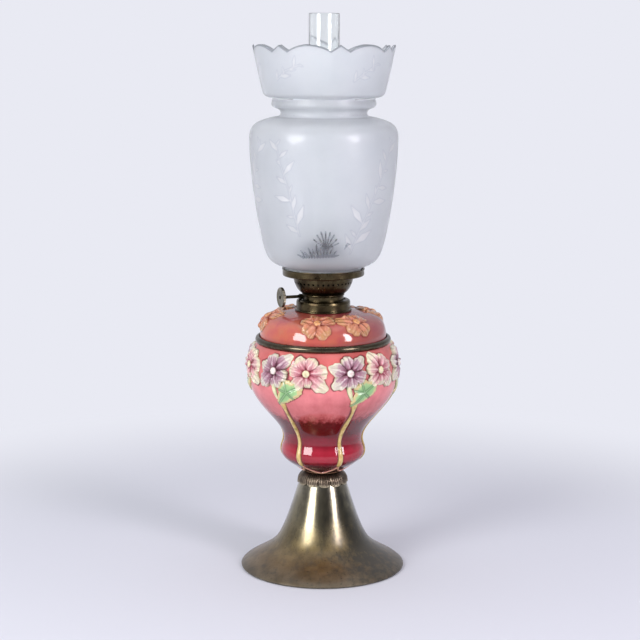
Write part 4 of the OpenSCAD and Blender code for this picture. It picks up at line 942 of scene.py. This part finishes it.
# Painted shade: the dome darkens towards its right side
painted_shade_right = add(tree, "MapRange",
               {"Value": axes["X"], "From Min": 0.0, "From Max": DOME_R * MM, "To Max": 0.8})
wash = add(tree, "MixRGB", {"Fac": painted_shade_right, "Color1": wash, "Color2": linear("#80474e")})
gathered = add(tree, "Attribute", attribute_name="pool", out="Fac")
deep = add(tree, "MapRange", {"Value": gathered, "From Min": 0.3, "From Max": 0.95, "To Max": 0.4})
colour = add(tree, "MixRGB", {"Fac": deep, "Color1": wash, "Color2": linear("#7d2f25")})
ripple = add(tree, "TexNoise", {"Vector": place, "Scale": per(12), "Detail": 2.0})
bump = add(tree, "Bump", {"Height": ripple, "Strength": 0.4, "Distance": 0.6 * MM})
connect(tree, shader, Base_Color=colour, Normal=bump)
piece("domed_oil_font", font_points, honey_glaze, "font", "font_glaze", "oil_font", "font_bowl",
      pool=font_pool)

# %% Flowers on the dome
font_flower_glaze = blossom_glaze(
    "orange_majolica_glaze",
    [(0.3, "#b55f45"), (0.55, "#cd7a58"), (0.85, "#cb7e59"), (1.1, "#bb7d52"), (1.3, "#be8656")],
    rib_highlight="#d29a76", crease="#a35640", edge="#c48a60", middle="#dc9c5f")
points, places = blossoms(dome_wall, font_azimuths, font_blossom_along, FONT_PETALS, FONT_PETAL_THICK)
piece("font_flowers", points, font_flower_glaze, "font", "font_blossom_glaze", "font_blossoms", sharp=60,
      **places)

# %% [markdown]
# ## Burner collar, neck and knob
# These are pressed and turned brass. Each outline is a list of corners with the small radius that a press
# leaves. A Bevel modifier could round the finished lathe; easing the outline does it before there are
# faces. The knob is a milled disc on a spindle that points to the viewer's left and a little forward, so
# its lathe lies along that line.

# %% Burner collar
socket_low, socket_high = box("font_collar")
base_z, lip_z, flange_r = socket_low[2], socket_high[2], socket_high[0]
collar_r, collar_in = flange_r - 1.5, flange_r - 2.7
mouth_r, seat_r, seat_z = 22.9, 21.4, lip_z - 3.0
font_collar_outline = eased([
    (collar_in, base_z), (flange_r, base_z), (flange_r, base_z + 1.6), (collar_r, base_z + 2.0),
    (collar_r, lip_z - 3.0), (collar_r - 0.5, lip_z - 1.0), (collar_r - 2.2, lip_z), (mouth_r, lip_z),
    (mouth_r, seat_z), (seat_r, seat_z), (seat_r, seat_z - 2), (collar_in, seat_z - 2)], 0.5)
piece("bayonet_collar", turned(closed(font_collar_outline)), burner_brass, "font", "burner_metal",
      "font_collar", sharp=50)

# %% Burner neck
neck_low, neck_high = box("burner_body")
neck_z, neck_top = neck_low[2], neck_high[2]
NECK_R, NECK_WALL = 20.9, 1.0
neck_outline = eased([
    (NECK_R - NECK_WALL, neck_z), (NECK_R, neck_z), (NECK_R, seat_z), (NECK_R + 1.2, seat_z + 0.1),
    (NECK_R + 1.5, seat_z + 1.1), (NECK_R + 1.2, seat_z + 2.1), (NECK_R, seat_z + 2.3),
    (NECK_R, neck_top - 1.9), (NECK_R + 0.7, neck_top - 1.5), (NECK_R + 0.9, neck_top - 0.9),
    (NECK_R + 0.7, neck_top - 0.2), (NECK_R - 0.2, neck_top), (NECK_R - NECK_WALL, neck_top)], 0.35)
piece("burner_neck", turned(closed(neck_outline)), burner_brass, "burner", "burner_metal", "burner_body",
      sharp=50)

# %% Winder knob
WINDER_AZIMUTH = np.radians(202)
SPINDLE_R, SPINDLE_SIDE, KNOB_REACH = 1.6, 7.707, 43.0
KNOB_R, KNOB_FACE, KNOB_DISH, HUB_R, HUB_BACK = 10.3, 1.4, 0.8, 3.0, 4.4
KNURLS, KNURL_DEPTH = 40, 0.35
spindle_low, spindle_high = box("winder_spindle")
spindle_z = (spindle_low[2] + spindle_high[2]) / 2
outwards = np.array([np.cos(WINDER_AZIMUTH), np.sin(WINDER_AZIMUTH), 0])
sideways = np.array([-outwards[1], outwards[0], 0])
knob_line = closed(eased([
    (SPINDLE_R, -HUB_BACK), (HUB_R, -HUB_BACK), (HUB_R, -KNOB_FACE), (KNOB_R, -KNOB_FACE),
    (KNOB_R, KNOB_FACE), (KNOB_R - 1.2, KNOB_FACE), (KNOB_R - 1.9, KNOB_DISH), (HUB_R + 0.6, KNOB_DISH),
    (HUB_R, KNOB_FACE), (SPINDLE_R, KNOB_FACE)], 0.35))
q = turns(KNURLS * 8)[:, None]
on_rim = np.clip((knob_line[:, 0] - KNOB_R + 0.5) / 0.4, 0, 1)
milled = on_rim * KNURL_DEPTH * (0.5 - 0.5 * np.cos(KNURLS * q))
knob_r, knob_x = knob_line[:, 0] - milled, knob_line[:, 1] + KNOB_REACH + 0 * q
knob_points = (knob_x[..., None] * outwards + (knob_r * np.cos(q) - SPINDLE_SIDE)[..., None] * sideways
               + (knob_r * np.sin(q) + spindle_z)[..., None] * np.array([0, 0, 1]))
piece("milled_winder_knob", knob_points, knob_brass, "winder", "knob_metal", "winder_knob", sharp=50)

# %% [markdown]
# ## Pierced basket
# Air enters the burner through a bowl with a row of round holes. A picture of holes would show no light
# through them, so each hole is real: a cell of the sheet whose grid runs from a circle to the cell's square
# edge. Cells tile round the bowl and weld to the plain bands, and both have an upper and an under face,
# which gives the sheet its thickness.

# %% Basket outline
basket_low, basket_high = box("air_basket")
HOLES, HOLES_RISE, HOLE_D, CELL_TALL, SIDE_STEPS = 36, 12.0, 2.4, 4.8, 6
BASKET_SHEET, BASKET_R = 0.8, 30.8
flange_z = basket_high[2] - 0.6
basket_top = (BASKET_R, flange_z - 1.6)
basket_flange = np.array([
    basket_top, (BASKET_R + 0.4, flange_z - 0.6), (BASKET_R + 1.0, flange_z - 0.1),
    (basket_high[0] - 0.3, flange_z), (basket_high[0], flange_z + 0.6)])
basket_line = joined(curve((NECK_R, basket_low[2]), 25, 0.3, basket_top, 78, 0.45, 60), basket_flange)
basket_wall = wall_of(basket_line)
print("basket wall:", round(basket_wall[-1, 0], 1), "mm along")


# %% Holes and bands
def pierced_row(along, tall, hole):
    """Cells of a row of holes: between the hole's circle and the cell's square edge, points move along
    straight lines. Each cell runs under the sheet from its edge to the hole, through the hole, and back out
    over the top."""
    k = -np.arange(4 * SIDE_STEPS + 1) % (4 * SIDE_STEPS)
    side, part = k // SIDE_STEPS, k % SIDE_STEPS / SIDE_STEPS * 2 - 1
    ones = np.ones(len(k))
    x = np.choose(side, [ones, -part, -ones, part])
    y = np.choose(side, [part, ones, -part, -ones])
    ring = np.arctan2(y, x)
    half = np.pi / HOLES
    out = np.concatenate([np.linspace(1, 0, 5), np.linspace(0, 1, 5)])[None, :]
    level = np.repeat([-BASKET_SHEET, 0], 5)
    radius = np.interp(along, basket_wall[:, 0], basket_wall[:, 1])
    hole_az, hole_s = hole / 2 / radius * np.cos(ring), hole / 2 * np.sin(ring)
    az = hole_az[:, None] + out * (x * half - hole_az)[:, None]
    s = along + hole_s[:, None] + out * (y * tall / 2 - hole_s)[:, None]
    first = np.degrees(np.arange(HOLES))[:, None, None] * 2 * half
    return on_wall(basket_wall, first + np.degrees(az)[None], 0, s[None], level)


def band(*stretches):
    """A plain part of the bowl: each stretch (from, to, height) is a line along the outline, on the outer
    face or under it, carried round at the azimuths where the cells have their points."""
    along = np.concatenate([np.linspace(low, high, 12) for low, high, _ in stretches])
    height = np.concatenate([np.full(12, level) for _, _, level in stretches])
    az = np.degrees(turns(HOLES * SIDE_STEPS))[:, None]
    return on_wall(basket_wall, az, 0, along, height)


# %% Basket
row_along = np.interp(basket_low[2] + HOLES_RISE, basket_wall[:, 2], basket_wall[:, 0])
row_low, row_high, full_run = row_along - CELL_TALL / 2, row_along + CELL_TALL / 2, basket_wall[-1, 0]
bowl = [pierced_row(row_along, CELL_TALL, HOLE_D),
        band((row_low, 0, -BASKET_SHEET), (0, row_low, 0)),
        band((row_high, full_run, 0), (full_run, row_high, -BASKET_SHEET))]
piece("pierced_basket", bowl, burner_brass, "burner", "burner_metal", "air_basket", sharp=50)

# %% [markdown]
# ## Shade gallery
# A shallow tray with an upright wall holds the foot of the shade. Four triangles are struck inwards from
# the wall so that the glass sits tight. The wall is a lathe, and the triangles are a formula that pushes
# its points in, which needs no cutting.

# %% Gallery
gallery_low, gallery_high = box("shade_gallery")
tray_z, wall_top = gallery_low[2], gallery_high[2]
GALLERY_R, GALLERY_SHEET, GALLERY_LIP, GALLERY_HOLE_R, WALL_ROWS = 41.7, 1.2, 0.6, 25.9, 26
TABS, TAB_AZIMUTH, TAB_HALF, TAB_DEPTH = 4, 262, 4.2, 1.1
upright_in = GALLERY_R - GALLERY_SHEET
wall_z = np.linspace(tray_z + 1.2, wall_top - 1.6, WALL_ROWS)
gallery_line = np.concatenate([
    [(GALLERY_HOLE_R, tray_z + GALLERY_SHEET), (GALLERY_HOLE_R, tray_z), (GALLERY_R - 1.2, tray_z),
     (GALLERY_R - 0.35, tray_z + 0.35)],
    np.stack([np.full(WALL_ROWS, GALLERY_R), wall_z], 1),
    [(GALLERY_R + 0.45, wall_top - 1.1), (GALLERY_R + GALLERY_LIP, wall_top - 0.6),
     (GALLERY_R + 0.45, wall_top - 0.15), (GALLERY_R, wall_top), (upright_in, wall_top - 0.2)],
    np.stack([np.full(WALL_ROWS, upright_in), wall_z[::-1]], 1),
    [(upright_in - 0.4, tray_z + GALLERY_SHEET)]])
a = turns(720)[:, None]
r, z = gallery_line[:, 0], gallery_line[:, 1]
side = ((np.degrees(a) - TAB_AZIMUTH) * TABS / 360 + 0.5) % 1 * 360 / TABS - 180 / TABS
across = np.abs(np.radians(side)) * GALLERY_R / TAB_HALF
tall = np.clip((z - tray_z - 1.4) / (wall_top - tray_z - 3.2), 0, 1)
on_upright = (r > upright_in - 0.1) & (tall > 0) & (tall < 1)
dent = TAB_DEPTH * np.clip((1 - tall - across) * 2.2, 0, 1) * np.clip(tall * 8, 0, 1) * on_upright
gallery_points = np.stack([(r - dent) * np.cos(a), (r - dent) * np.sin(a), z + 0 * a], -1)
gallery_points = np.concatenate([gallery_points, gallery_points[:, :1]], 1)
piece("tabbed_gallery", gallery_points, burner_brass, "burner", "burner_metal", "shade_gallery", sharp=50)

# %% [markdown]
# ## Chimney
# The chimney is drawn glass tube, blown out at its foot and pinched just above the wick. Glass needs both
# of its faces to bend light as it should, so the outline runs up the outside, over a fire-polished edge and
# down the inside.

# %% Chimney shape
chimney_low, chimney_high = box("chimney")
glass_z, glass_top = chimney_low[2], chimney_high[2]
CHIMNEY_R, FLUE_R, THROAT_R, CHIMNEY_WALL = chimney_high[0], 15.5, 14.5, 1.3
THROAT_H, PINCH_H, FLARE_H, EDGE_H = 62, THROAT_R * 1.3, 20, 1
throat_z = glass_z + THROAT_H
pinch_z = throat_z - PINCH_H
chimney_line = joined(
    np.array([(CHIMNEY_R, glass_z + EDGE_H), (CHIMNEY_R, pinch_z)]),
    curve((CHIMNEY_R, pinch_z), 90, 0.5, (THROAT_R, throat_z), 90, 0.35),
    curve((THROAT_R, throat_z), 90, 0.4, (FLUE_R, throat_z + FLARE_H), 90, 0.4),
    np.array([(FLUE_R, throat_z + FLARE_H), (FLUE_R, glass_top - EDGE_H)]))
chimney_in = shifted(chimney_line, CHIMNEY_WALL)[::-1]
half_round = np.linspace(0, np.pi, 7)[1:-1]
edge_r = CHIMNEY_WALL / 2
edge_x, edge_z = edge_r * np.cos(half_round), EDGE_H * np.sin(half_round)
top_edge = np.stack([FLUE_R - edge_r + edge_x, glass_top - EDGE_H + edge_z], 1)
low_edge = np.stack([CHIMNEY_R - edge_r - edge_x, glass_z + EDGE_H - edge_z], 1)
chimney_outline = np.concatenate([chimney_line, top_edge, chimney_in, low_edge])
print("chimney outline:", len(chimney_outline), "points")

# %% Chimney glass
# Real glass bends light a little more; the lower index keeps the tube's edges as faint as in the photograph,
# and the coat gives back the bright streaks of the lamps
clear_glass, tree, place, shader = new_finish(
    "clear_drawn_glass", Base_Color=linear("#fbfdfc"), Roughness=0.0, Transmission_Weight=1.0, IOR=1.3,
    Coat_Weight=1.0)
wave = add(tree, "Mapping", {"Vector": place, "Scale": (1, 1, 0.3)})
draw = add(tree, "TexNoise", {"Vector": wave, "Scale": per(24), "Detail": 1.0})
bump = add(tree, "Bump", {"Height": draw, "Strength": 0.2, "Distance": 0.4 * MM})
connect(tree, shader, Normal=bump)
piece("drawn_chimney", turned(closed(chimney_outline), 160), clear_glass, "chimney", "clear_glass", "chimney")

# %% [markdown]
# ## Shade
# The shade is mould-blown: a belled body, a pinched neck with a bead, and a flared crown whose rim was
# ground into scallops. Acid took the polish off it, except where a resist kept a fan of grass clear, and
# branches of foliage, two on the body and two small ones on the crown, were etched whiter. The wall is one
# lathe whose last rows stop at the scalloped edge. The drawing is a distance stored at each point, which
# keeps an edge clean between points, where a stored colour would blur it.

# %% Shade outline
shade_z = box("shade")[0][2]
SHADE_WALL = 2.4
SCALLOPS, SCALLOP_AZIMUTH, SCALLOP_SHARE, SCALLOP_DEPTH = 7, 257.5, 0.7, 6.4
SMALL_SCALLOP = 0.94


def at(r, h):
    """A point of the shade's outline, its height measured from the bottom of the glass."""
    return np.array([r, shade_z + h])


FITTER, FITTER_TOP, LOW = at(39, 1.2), at(39, 7.4), at(58, 21)
SHOULDER, SLOPE, NECK = at(75.2, 138), at(53.5, 158.8), at(43.5, 163)
BEAD, GROOVE, CROWN, RIM = at(52.8, 172.4), at(51.6, 178.4), at(62, 185), at(71.8, 230)
shade_line = joined(
    np.array([FITTER, FITTER_TOP]),
    curve(FITTER_TOP, 18, 0.4, LOW, 66, 0.4, 16),
    curve(LOW, 66, 0.16, SHOULDER, 90, 0.3, 50),
    curve(SHOULDER, 90, 0.5, SLOPE, 164, 0.45, 26),
    curve(SLOPE, 164, 0.4, NECK, 90, 0.35, 16),
    curve(NECK, 90, 0.5, BEAD, 90, 0.4, 18),
    curve(BEAD, 90, 0.35, GROOVE, 90, 0.35, 8),
    curve(GROOVE, 8, 0.45, CROWN, 76, 0.4, 16),
    curve(CROWN, 76, 0.3, RIM, 79, 0.3, 20))
shade_wall = wall_of(shade_line)
crown_run = np.interp(CROWN[1], shade_wall[:, 2], shade_wall[:, 0])
rim_run = shade_wall[-1, 0]
print("shade: rim", round(rim_run, 1), "mm along, crown from", round(crown_run, 1))


# %% Scallops
def scallop_drop(azimuth):
    """How far the rim lies below its highest point: an arc over each large scallop, two straight lines to the
    peak of each small one between them."""
    step = 360 / SCALLOPS
    place = (azimuth - SCALLOP_AZIMUTH + step / 2) % step - step / 2
    large = step * SCALLOP_SHARE / 2
    x = np.sin(np.radians(place)) * RIM[0]
    half = np.sin(np.radians(large)) * RIM[0]
    arc = (half**2 + SCALLOP_DEPTH**2) / (2 * SCALLOP_DEPTH)
    rise = np.sqrt(np.clip(arc**2 - x**2, 0, None)) - arc + SCALLOP_DEPTH
    peak = SCALLOP_DEPTH * SMALL_SCALLOP * np.clip((np.abs(place) - large) / (step / 2 - large), 0, 1)
    return SCALLOP_DEPTH - np.where(np.abs(place) < large, rise, peak)


# %% Shade shape
a = np.radians(SCALLOP_AZIMUTH) + turns(420)[:, None]
below = np.linspace(0, crown_run, 140)[None, :] + 0 * a
share = np.linspace(0, 1, 26)[None, 1:]
crown_rows = crown_run + (rim_run - scallop_drop(np.degrees(a)) - crown_run) * share
outer_run = np.concatenate([below, crown_rows], 1)
inner_run = outer_run[:, ::-4]
ease = np.linspace(0, np.pi, 6)[None, 1:-1]
half_wall = SHADE_WALL / 2
rim_rows = outer_run[:, -1:] + half_wall * np.sin(ease)
foot_rows = -half_wall * np.sin(ease) + 0 * a
runs = np.concatenate([outer_run, rim_rows, inner_run, foot_rows, outer_run[:, :1]], 1)
rim_heights = -half_wall * (1 - np.cos(ease)) + 0 * a
heights = np.concatenate(
    [0 * outer_run, rim_heights, 0 * inner_run - SHADE_WALL, rim_heights[:, ::-1], 0 * a], 1)
clipped = np.clip(runs, 0, rim_run)
past = runs - clipped
shade_points = on_wall(shade_wall, np.degrees(a), 0, clipped, heights)
shade_points[..., 2] += past
print("shade:", shade_points.shape[:2], "points")

# %% Strokes and branches
PANELS, PANEL_AZIMUTH, PANEL_START = 3, 270, 0.38
BRANCH_LEFT = [(-24, 46), (-30, 68), (-36, 92), (-46, 118), (-50, 136)]
BRANCH_RIGHT = [(27, 28), (38, 52), (52, 78), (66, 104), (84, 138)]
CROWN_SPRIGS = [[(-52, 196), (-40, 206), (-24, 212)], [(30, 196), (44, 205), (60, 213)]]


def stroke(x, y, start, end, width_start, width_end):
    """Signed distance to a tapered stroke: the distance to the nearest point of its middle line, less the
    half width there, which goes straight from one end's to the other's."""
    (x0, y0), (x1, y1) = start, end
    dx, dy = x1 - x0, y1 - y0
    t = np.clip(((x - x0) * dx + (y - y0) * dy) / (dx**2 + dy**2), 0, 1)
    return np.hypot(x - x0 - t * dx, y - y0 - t * dy) - width_start - t * (width_end - width_start)


def branch(x, y, knots, leaves, length):
    """Signed distance to a branch: a thin stem through its knots, and leaves on both sides in turn."""
    knots = np.array(knots, float)
    found = [stroke(x, y, p, q, 0.45, 0.45) for p, q in zip(knots[:-1], knots[1:])]
    t = np.linspace(0.03, 0.98, leaves) * (len(knots) - 1)
    places = np.stack([np.interp(t, np.arange(len(knots)), knots[:, k]) for k in (0, 1)], 1)
    lean = np.arctan2(*np.gradient(places, axis=0).T[::-1])
    for k in range(leaves):
        side = lean[k] + (-1) ** k * np.radians(46 + 22 * np.sin(3.7 * k))
        long = length * (0.75 + 0.35 * np.sin(2.1 * k)) * (1 - 0.3 * k / leaves)
        tip = places[k] + long * np.array([np.cos(side), np.sin(side)])
        middle = places[k] + 0.5 * (tip - places[k])
        found.append(stroke(x, y, places[k], middle, 0.2, 0.14 * long))
        found.append(stroke(x, y, middle, tip, 0.14 * long, 0.15))
    return np.min(found, 0)


# %% Foliage on the shade
azimuth = np.degrees(a) + 0 * runs
etch_y = np.interp(clipped, shade_wall[:, 0], shade_wall[:, 2]) - shade_z
etch_x = ((azimuth - PANEL_AZIMUTH) * PANELS / 360 + PANEL_START) % 1 - PANEL_START
etch_x = etch_x * TAU / PANELS * np.interp(clipped, shade_wall[:, 0], shade_wall[:, 1])
FAN = [(-10, 43), (-6.5, 47.5), (-2.5, 50.5), (2, 51), (6.5, 50), (10.5, 47.5), (13.5, 43), (15, 39)]
FAN_FOOT = (2.5, 33)
MOUND = [(-27, 27), (-23, 31), (-19, 30), (-15, 34), (-11, 33), (-7, 37), (-3, 35), (1, 39), (5, 36), (9, 34),
         (13, 31), (16, 27)]
TUFT = [(21, 33), (24.5, 38), (27.5, 37)]
clear = [stroke(etch_x, etch_y, FAN_FOOT, tip, 0.4, 0.8) for tip in FAN]
clear += [stroke(etch_x, etch_y, (0.7 * x - 1, 25 + 0.04 * x), (x, y), 1.3, 0.6) for x, y in MOUND]
clear.append(stroke(etch_x, etch_y, TUFT[0], TUFT[1], 0.6, 1.3))
clear.append(stroke(etch_x, etch_y, TUFT[1], TUFT[2], 1.3, 0.4))
clear = np.min(clear, 0)
# Painted shade: a soft grey patch low on the glass, a half-cleared etch painted grey for the dark burner seen
# through it
mist = np.exp(-(((etch_x + 3) / 21) ** 2) - ((etch_y - 31) / 9) ** 2)
bloom = [branch(etch_x, etch_y, BRANCH_LEFT, leaves=12, length=21),
         branch(etch_x, etch_y, BRANCH_RIGHT, leaves=15, length=24)]
bloom += [branch(etch_x, etch_y, knots, leaves=6, length=13) for knots in CROWN_SPRIGS]
bloom = np.min(bloom, 0)
ground = np.zeros_like(runs)
rim_column = outer_run.shape[1]
ground[:, rim_column - 1 : rim_column + rim_rows.shape[1] + 1] = 1
print("foliage:", len(FAN) + len(MOUND), "blades and", 2 + len(CROWN_SPRIGS), "branches in a panel")

# %% Shade glass
# Acid leaves a skin of fine pits, which spreads the light that goes through it; a second bath leaves the
# foliage whiter
shade_glass, tree, place, shader = new_finish("acid_frosted_glass", IOR=1.45, Coat_Weight=0.3,
                                              Coat_Roughness=0.1)
cut = add(tree, "Attribute", attribute_name="clear", out="Fac")
seen = add(tree, "MapRange", {"Value": cut, "From Min": -0.25, "From Max": 0.3, "To Min": 1.0, "To Max": 0.0})
white = add(tree, "Attribute", attribute_name="bloom", out="Fac")
leafy = add(tree, "MapRange",
            {"Value": white, "From Min": -0.5, "From Max": 0.6, "To Min": 1.0, "To Max": 0.0})
cloud = add(tree, "TexNoise", {"Vector": place, "Scale": per(34), "Detail": 4.0})
tone = add(tree, "ValToRGB", {"Fac": cloud}, [(0.3, "#eef1f4"), (0.7, "#f6f8fa")])
outline = add(tree, "MapRange",
              {"Value": white, "From Min": 0.4, "From Max": 1.3, "To Min": 0.75, "To Max": 0.0})
drawn = add(tree, "MixRGB", {"Fac": outline, "Color1": tone, "Color2": linear("#d8dce4")})
whiter = add(tree, "MixRGB", {"Fac": leafy, "Color1": drawn, "Color2": linear(WHITE)})
# The grey patch paints the dark burner behind the glass
misty = add(tree, "Attribute", attribute_name="mist", out="Fac")
burner_shade_amount = add(tree, "MapRange", {"Value": misty, "To Max": 0.9})
greyer = add(tree, "MixRGB", {"Fac": burner_shade_amount, "Color1": whiter, "Color2": linear("#b9bcc6")})
colour = add(tree, "MixRGB", {"Fac": seen, "Color1": greyer, "Color2": linear("#b0b3bb")})
frost = add(tree, "MapRange", {"Value": leafy, "To Min": 0.46, "To Max": 0.62})
polish = add(tree, "MixRGB", {"Fac": seen, "Color1": frost, "Color2": (0.1, 0.1, 0.1, 1)})
veil = add(tree, "MapRange", {"Value": leafy, "To Min": 0.8, "To Max": 0.68})
through = add(tree, "MixRGB", {"Fac": seen, "Color1": veil, "Color2": (0.86, 0.86, 0.86, 1)})
# The ground rim, drawn as a grey line that also paints the dark edge that the glass shows there
rim_edge_shade = add(tree, "Attribute", attribute_name="ground", out="Fac")
edged = add(tree, "MapRange", {"Value": rim_edge_shade, "From Min": 0.65, "To Max": 0.75})
rimmed = add(tree, "MixRGB", {"Fac": edged, "Color1": colour, "Color2": linear("#8f959d")})
connect(tree, shader, Base_Color=rimmed, Roughness=polish, Transmission_Weight=through)
piece("etched_shade", shade_points, shade_glass, "shade", "frosted_glass", "shade", sharp=45, clear=clear,
      bloom=bloom, mist=mist, ground=ground)

# %% [markdown]
# ## Finishes for the hidden pieces
# The tie rod, its nuts and washers, the wick and the winder's works keep their CAD shapes, because those
# are already right. They still get real finishes: they show when the lamp is taken apart.

# %% Plain finishes
def grained(name, pattern, sizes, stops, depth=0.0, **values):
    """A plain finish: one pattern chooses its colours and, with a depth in mm, dents it."""
    made, tree, place, shader = new_finish(name, **values)
    grain = add(tree, pattern, {"Vector": place, **sizes})
    connect(tree, shader, Base_Color=add(tree, "ValToRGB", {"Fac": grain}, stops))
    if depth:
        dents = add(tree, "Bump", {"Height": grain, "Strength": 0.5, "Distance": depth * MM})
        connect(tree, shader, Normal=dents)
    return made


# Drawn steel gives a mottled grey, pressed leather a brown grain of small cells, plaster a chalky white
steel = grained("plain_drawn_steel", "TexNoise", {"Scale": per(3), "Detail": 4.0},
                [(0.3, "#6f6d69"), (0.7, "#96938d")], Metallic=1.0, Roughness=0.35)
leather = grained("pressed_leather", "TexVoronoi", {"Scale": per(1.5)},
                  [(0.1, "#4a3020"), (0.7, "#7a563a")], depth=0.3, Roughness=0.75)
plaster = grained("cast_plaster", "TexNoise", {"Scale": per(2), "Detail": 5.0},
                  [(0.3, "#c4bba8"), (0.7, "#ded8ca")], depth=0.3, Roughness=0.9)
print("plain finishes:", steel.name, leather.name, plaster.name)

# %% Wick cotton
# Woven cotton is dull and off-white, and charred at its edge. The weave is drawn coarser than real, to show.
# A wave texture has 20 / (2 pi) bands in a unit.
WEAVE_STEP = 5.146
CHAR_FROM, CHAR_TO = 5, 1.5
wick_top = box("wick")[1][2]
cotton, tree, place, shader = new_finish("woven_wick_cotton", Roughness=0.95)
weave = add(tree, "TexWave", {"Vector": place, "Scale": per(WEAVE_STEP) * TAU / 20, "Distortion": 1.5},
            out="Fac", bands_direction="Z")
height = add(tree, "SeparateXYZ", {"Vector": place}, out="Z")
burnt = add(tree, "MapRange", {"Value": height, "From Min": (wick_top - CHAR_FROM) * MM,
                               "From Max": (wick_top - CHAR_TO) * MM})
thread = add(tree, "ValToRGB", {"Fac": weave}, [(0.2, "#a89f88"), (0.8, "#ddd6c4")])
colour = add(tree, "MixRGB", {"Fac": burnt, "Color1": thread, "Color2": linear("#17130f")})
bump = add(tree, "Bump", {"Height": weave, "Strength": 0.6, "Distance": 0.5 * MM})
connect(tree, shader, Base_Color=colour, Normal=bump)
print("wick finish:", cotton.name)

# %% Finishes on the CAD shapes
HIDDEN = {
    "foot_washer": plain_brass, "tie_rod": steel, "tie_rod_nuts": plain_brass, "leather_washers": leather,
    "vase_washer": plain_brass, "collar_plaster": plaster, "chimney_holder": dark_brass,
    "outer_wick_tube": dark_brass, "draught_tube": dark_brass, "wick": cotton, "spindle_sleeve": dark_brass,
    "winder_spindle": dark_brass, "wick_wheels": plain_brass}
for node, finish in HIDDEN.items():
    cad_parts[node].data.materials.clear()
    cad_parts[node].data.materials.append(finish)
print("hidden pieces:", len(HIDDEN))

# %% [markdown]
# ## Studio
# The lamp stands on a pale table that fades into a pale wall. The floor is a disc whose rim turns to the
# colour of the background, so no wall has to stand where another view would look from. Two soft boxes give
# the twin streaks on everything that shines. A weak lamp above and the room, brighter behind the lamp and
# to the left, fill the rest.

# %% Floor
FLOOR_R, FADE_FROM, FADE_TO = 4.0, 0.28, 0.75
floor_r = np.array([0, 0.3, 0.6, 1.2, FLOOR_R]) / MM
floor_mesh = surface("floor", turned(np.stack([floor_r, 0 * floor_r], 1), 96))
floor = bpy.data.objects.new("floor", floor_mesh)
bpy.context.scene.collection.objects.link(floor)
print("floor:", FLOOR_R, "m in radius")

# %% Table paper
BACKGROUND = linear("#e9eaf3")
floor_finish, tree, place, shader = new_finish("matt_table_paper", Base_Color=linear("#d5d6de"),
                                               Roughness=0.9)
out = tree.nodes["Material Output"]
reach = add(tree, "VectorMath", {0: place}, operation="LENGTH", out="Value")
fade = add(tree, "MapRange", {"Value": reach, "From Min": FADE_FROM, "From Max": FADE_TO},
           interpolation_type="SMOOTHSTEP")
ray = add(tree, "LightPath").node.outputs
seen = add(tree, "Math", {0: ray["Is Camera Ray"], 1: ray["Is Glossy Ray"]}, operation="MAXIMUM")
seen = add(tree, "Math", {0: seen, 1: ray["Is Transmission Ray"]}, operation="MAXIMUM")
far = add(tree, "Math", {0: fade, 1: seen}, operation="MULTIPLY")
glow = add(tree, "Emission", {"Color": BACKGROUND, "Strength": 1.0})
mixed = add(tree, "MixShader", {0: far, 1: shader.outputs["BSDF"], 2: glow})
tree.links.new(mixed, out.inputs["Surface"])
floor_mesh.materials.append(floor_finish)
print("table paper:", len(tree.nodes), "nodes")

# %% World
world = bpy.data.worlds.new("studio")
bpy.context.scene.world = world
world.use_nodes = True
tree = world.node_tree
sky = tree.nodes["Background"]
way = add(tree, "TexCoord", out="Generated")
axes = add(tree, "SeparateXYZ", {"Vector": way}).node.outputs
depth = add(tree, "MapRange",
            {"Value": axes["Y"], "From Min": -0.6, "From Max": 0.7, "To Min": 0.11, "To Max": 0.68},
            interpolation_type="SMOOTHSTEP")
lift = add(tree, "MapRange", {"Value": axes["Z"], "From Min": 0.35, "From Max": 1.0, "To Max": 0.3})
window = add(tree, "MapRange",
             {"Value": axes["X"], "From Min": -1.0, "From Max": 1.0, "To Min": 0.2, "To Max": -0.04})
room = add(tree, "Math", {0: depth, 1: lift}, operation="ADD")
room = add(tree, "Math", {0: room, 1: window}, operation="ADD")
ray = add(tree, "LightPath").node.outputs
direct = add(tree, "Math", {0: ray["Is Camera Ray"], 1: ray["Is Transmission Ray"]}, operation="MAXIMUM")
strength = add(tree, "Mix", {"Factor": direct, "A": room, "B": 1.0})
tree.links.new(strength, sky.inputs["Strength"])
sky.inputs["Color"].default_value = BACKGROUND
print("world:", len(tree.nodes), "nodes")


# %% Lights
LAMP_MIDDLE = Vector((0, 0, 0.28))


def soft_box(name, azimuth, distance, rise, width, tall, power, colour=(1.0, 1.0, 1.0)):
    """An area light that looks at the lamp's middle from an azimuth in degrees, 0 at the camera's side."""
    lamp = bpy.data.lights.new(name, "AREA")
    lamp.color = colour
    lamp.shape, lamp.size, lamp.size_y, lamp.energy = "RECTANGLE", width, tall, power
    obj = bpy.data.objects.new(name, lamp)
    bpy.context.scene.collection.objects.link(obj)
    q = np.radians(azimuth - 90)
    obj.location = (distance * np.cos(q), distance * np.sin(q), rise)
    obj.rotation_euler = (LAMP_MIDDLE - obj.location).to_track_quat("-Z", "Y").to_euler()


soft_box("left_soft_box", azimuth=-43, distance=1.8, rise=0.8, width=0.8, tall=0.95, power=27)
soft_box("right_soft_box", azimuth=46, distance=1.8, rise=0.8, width=0.42, tall=0.95, power=20,
         colour=(1.0, 0.94, 1.0))
soft_box("top_fill", azimuth=0, distance=0.3, rise=1.8, width=1.5, tall=1.5, power=5)
bpy.context.scene.view_settings.view_transform = "Standard"
print("studio ready")
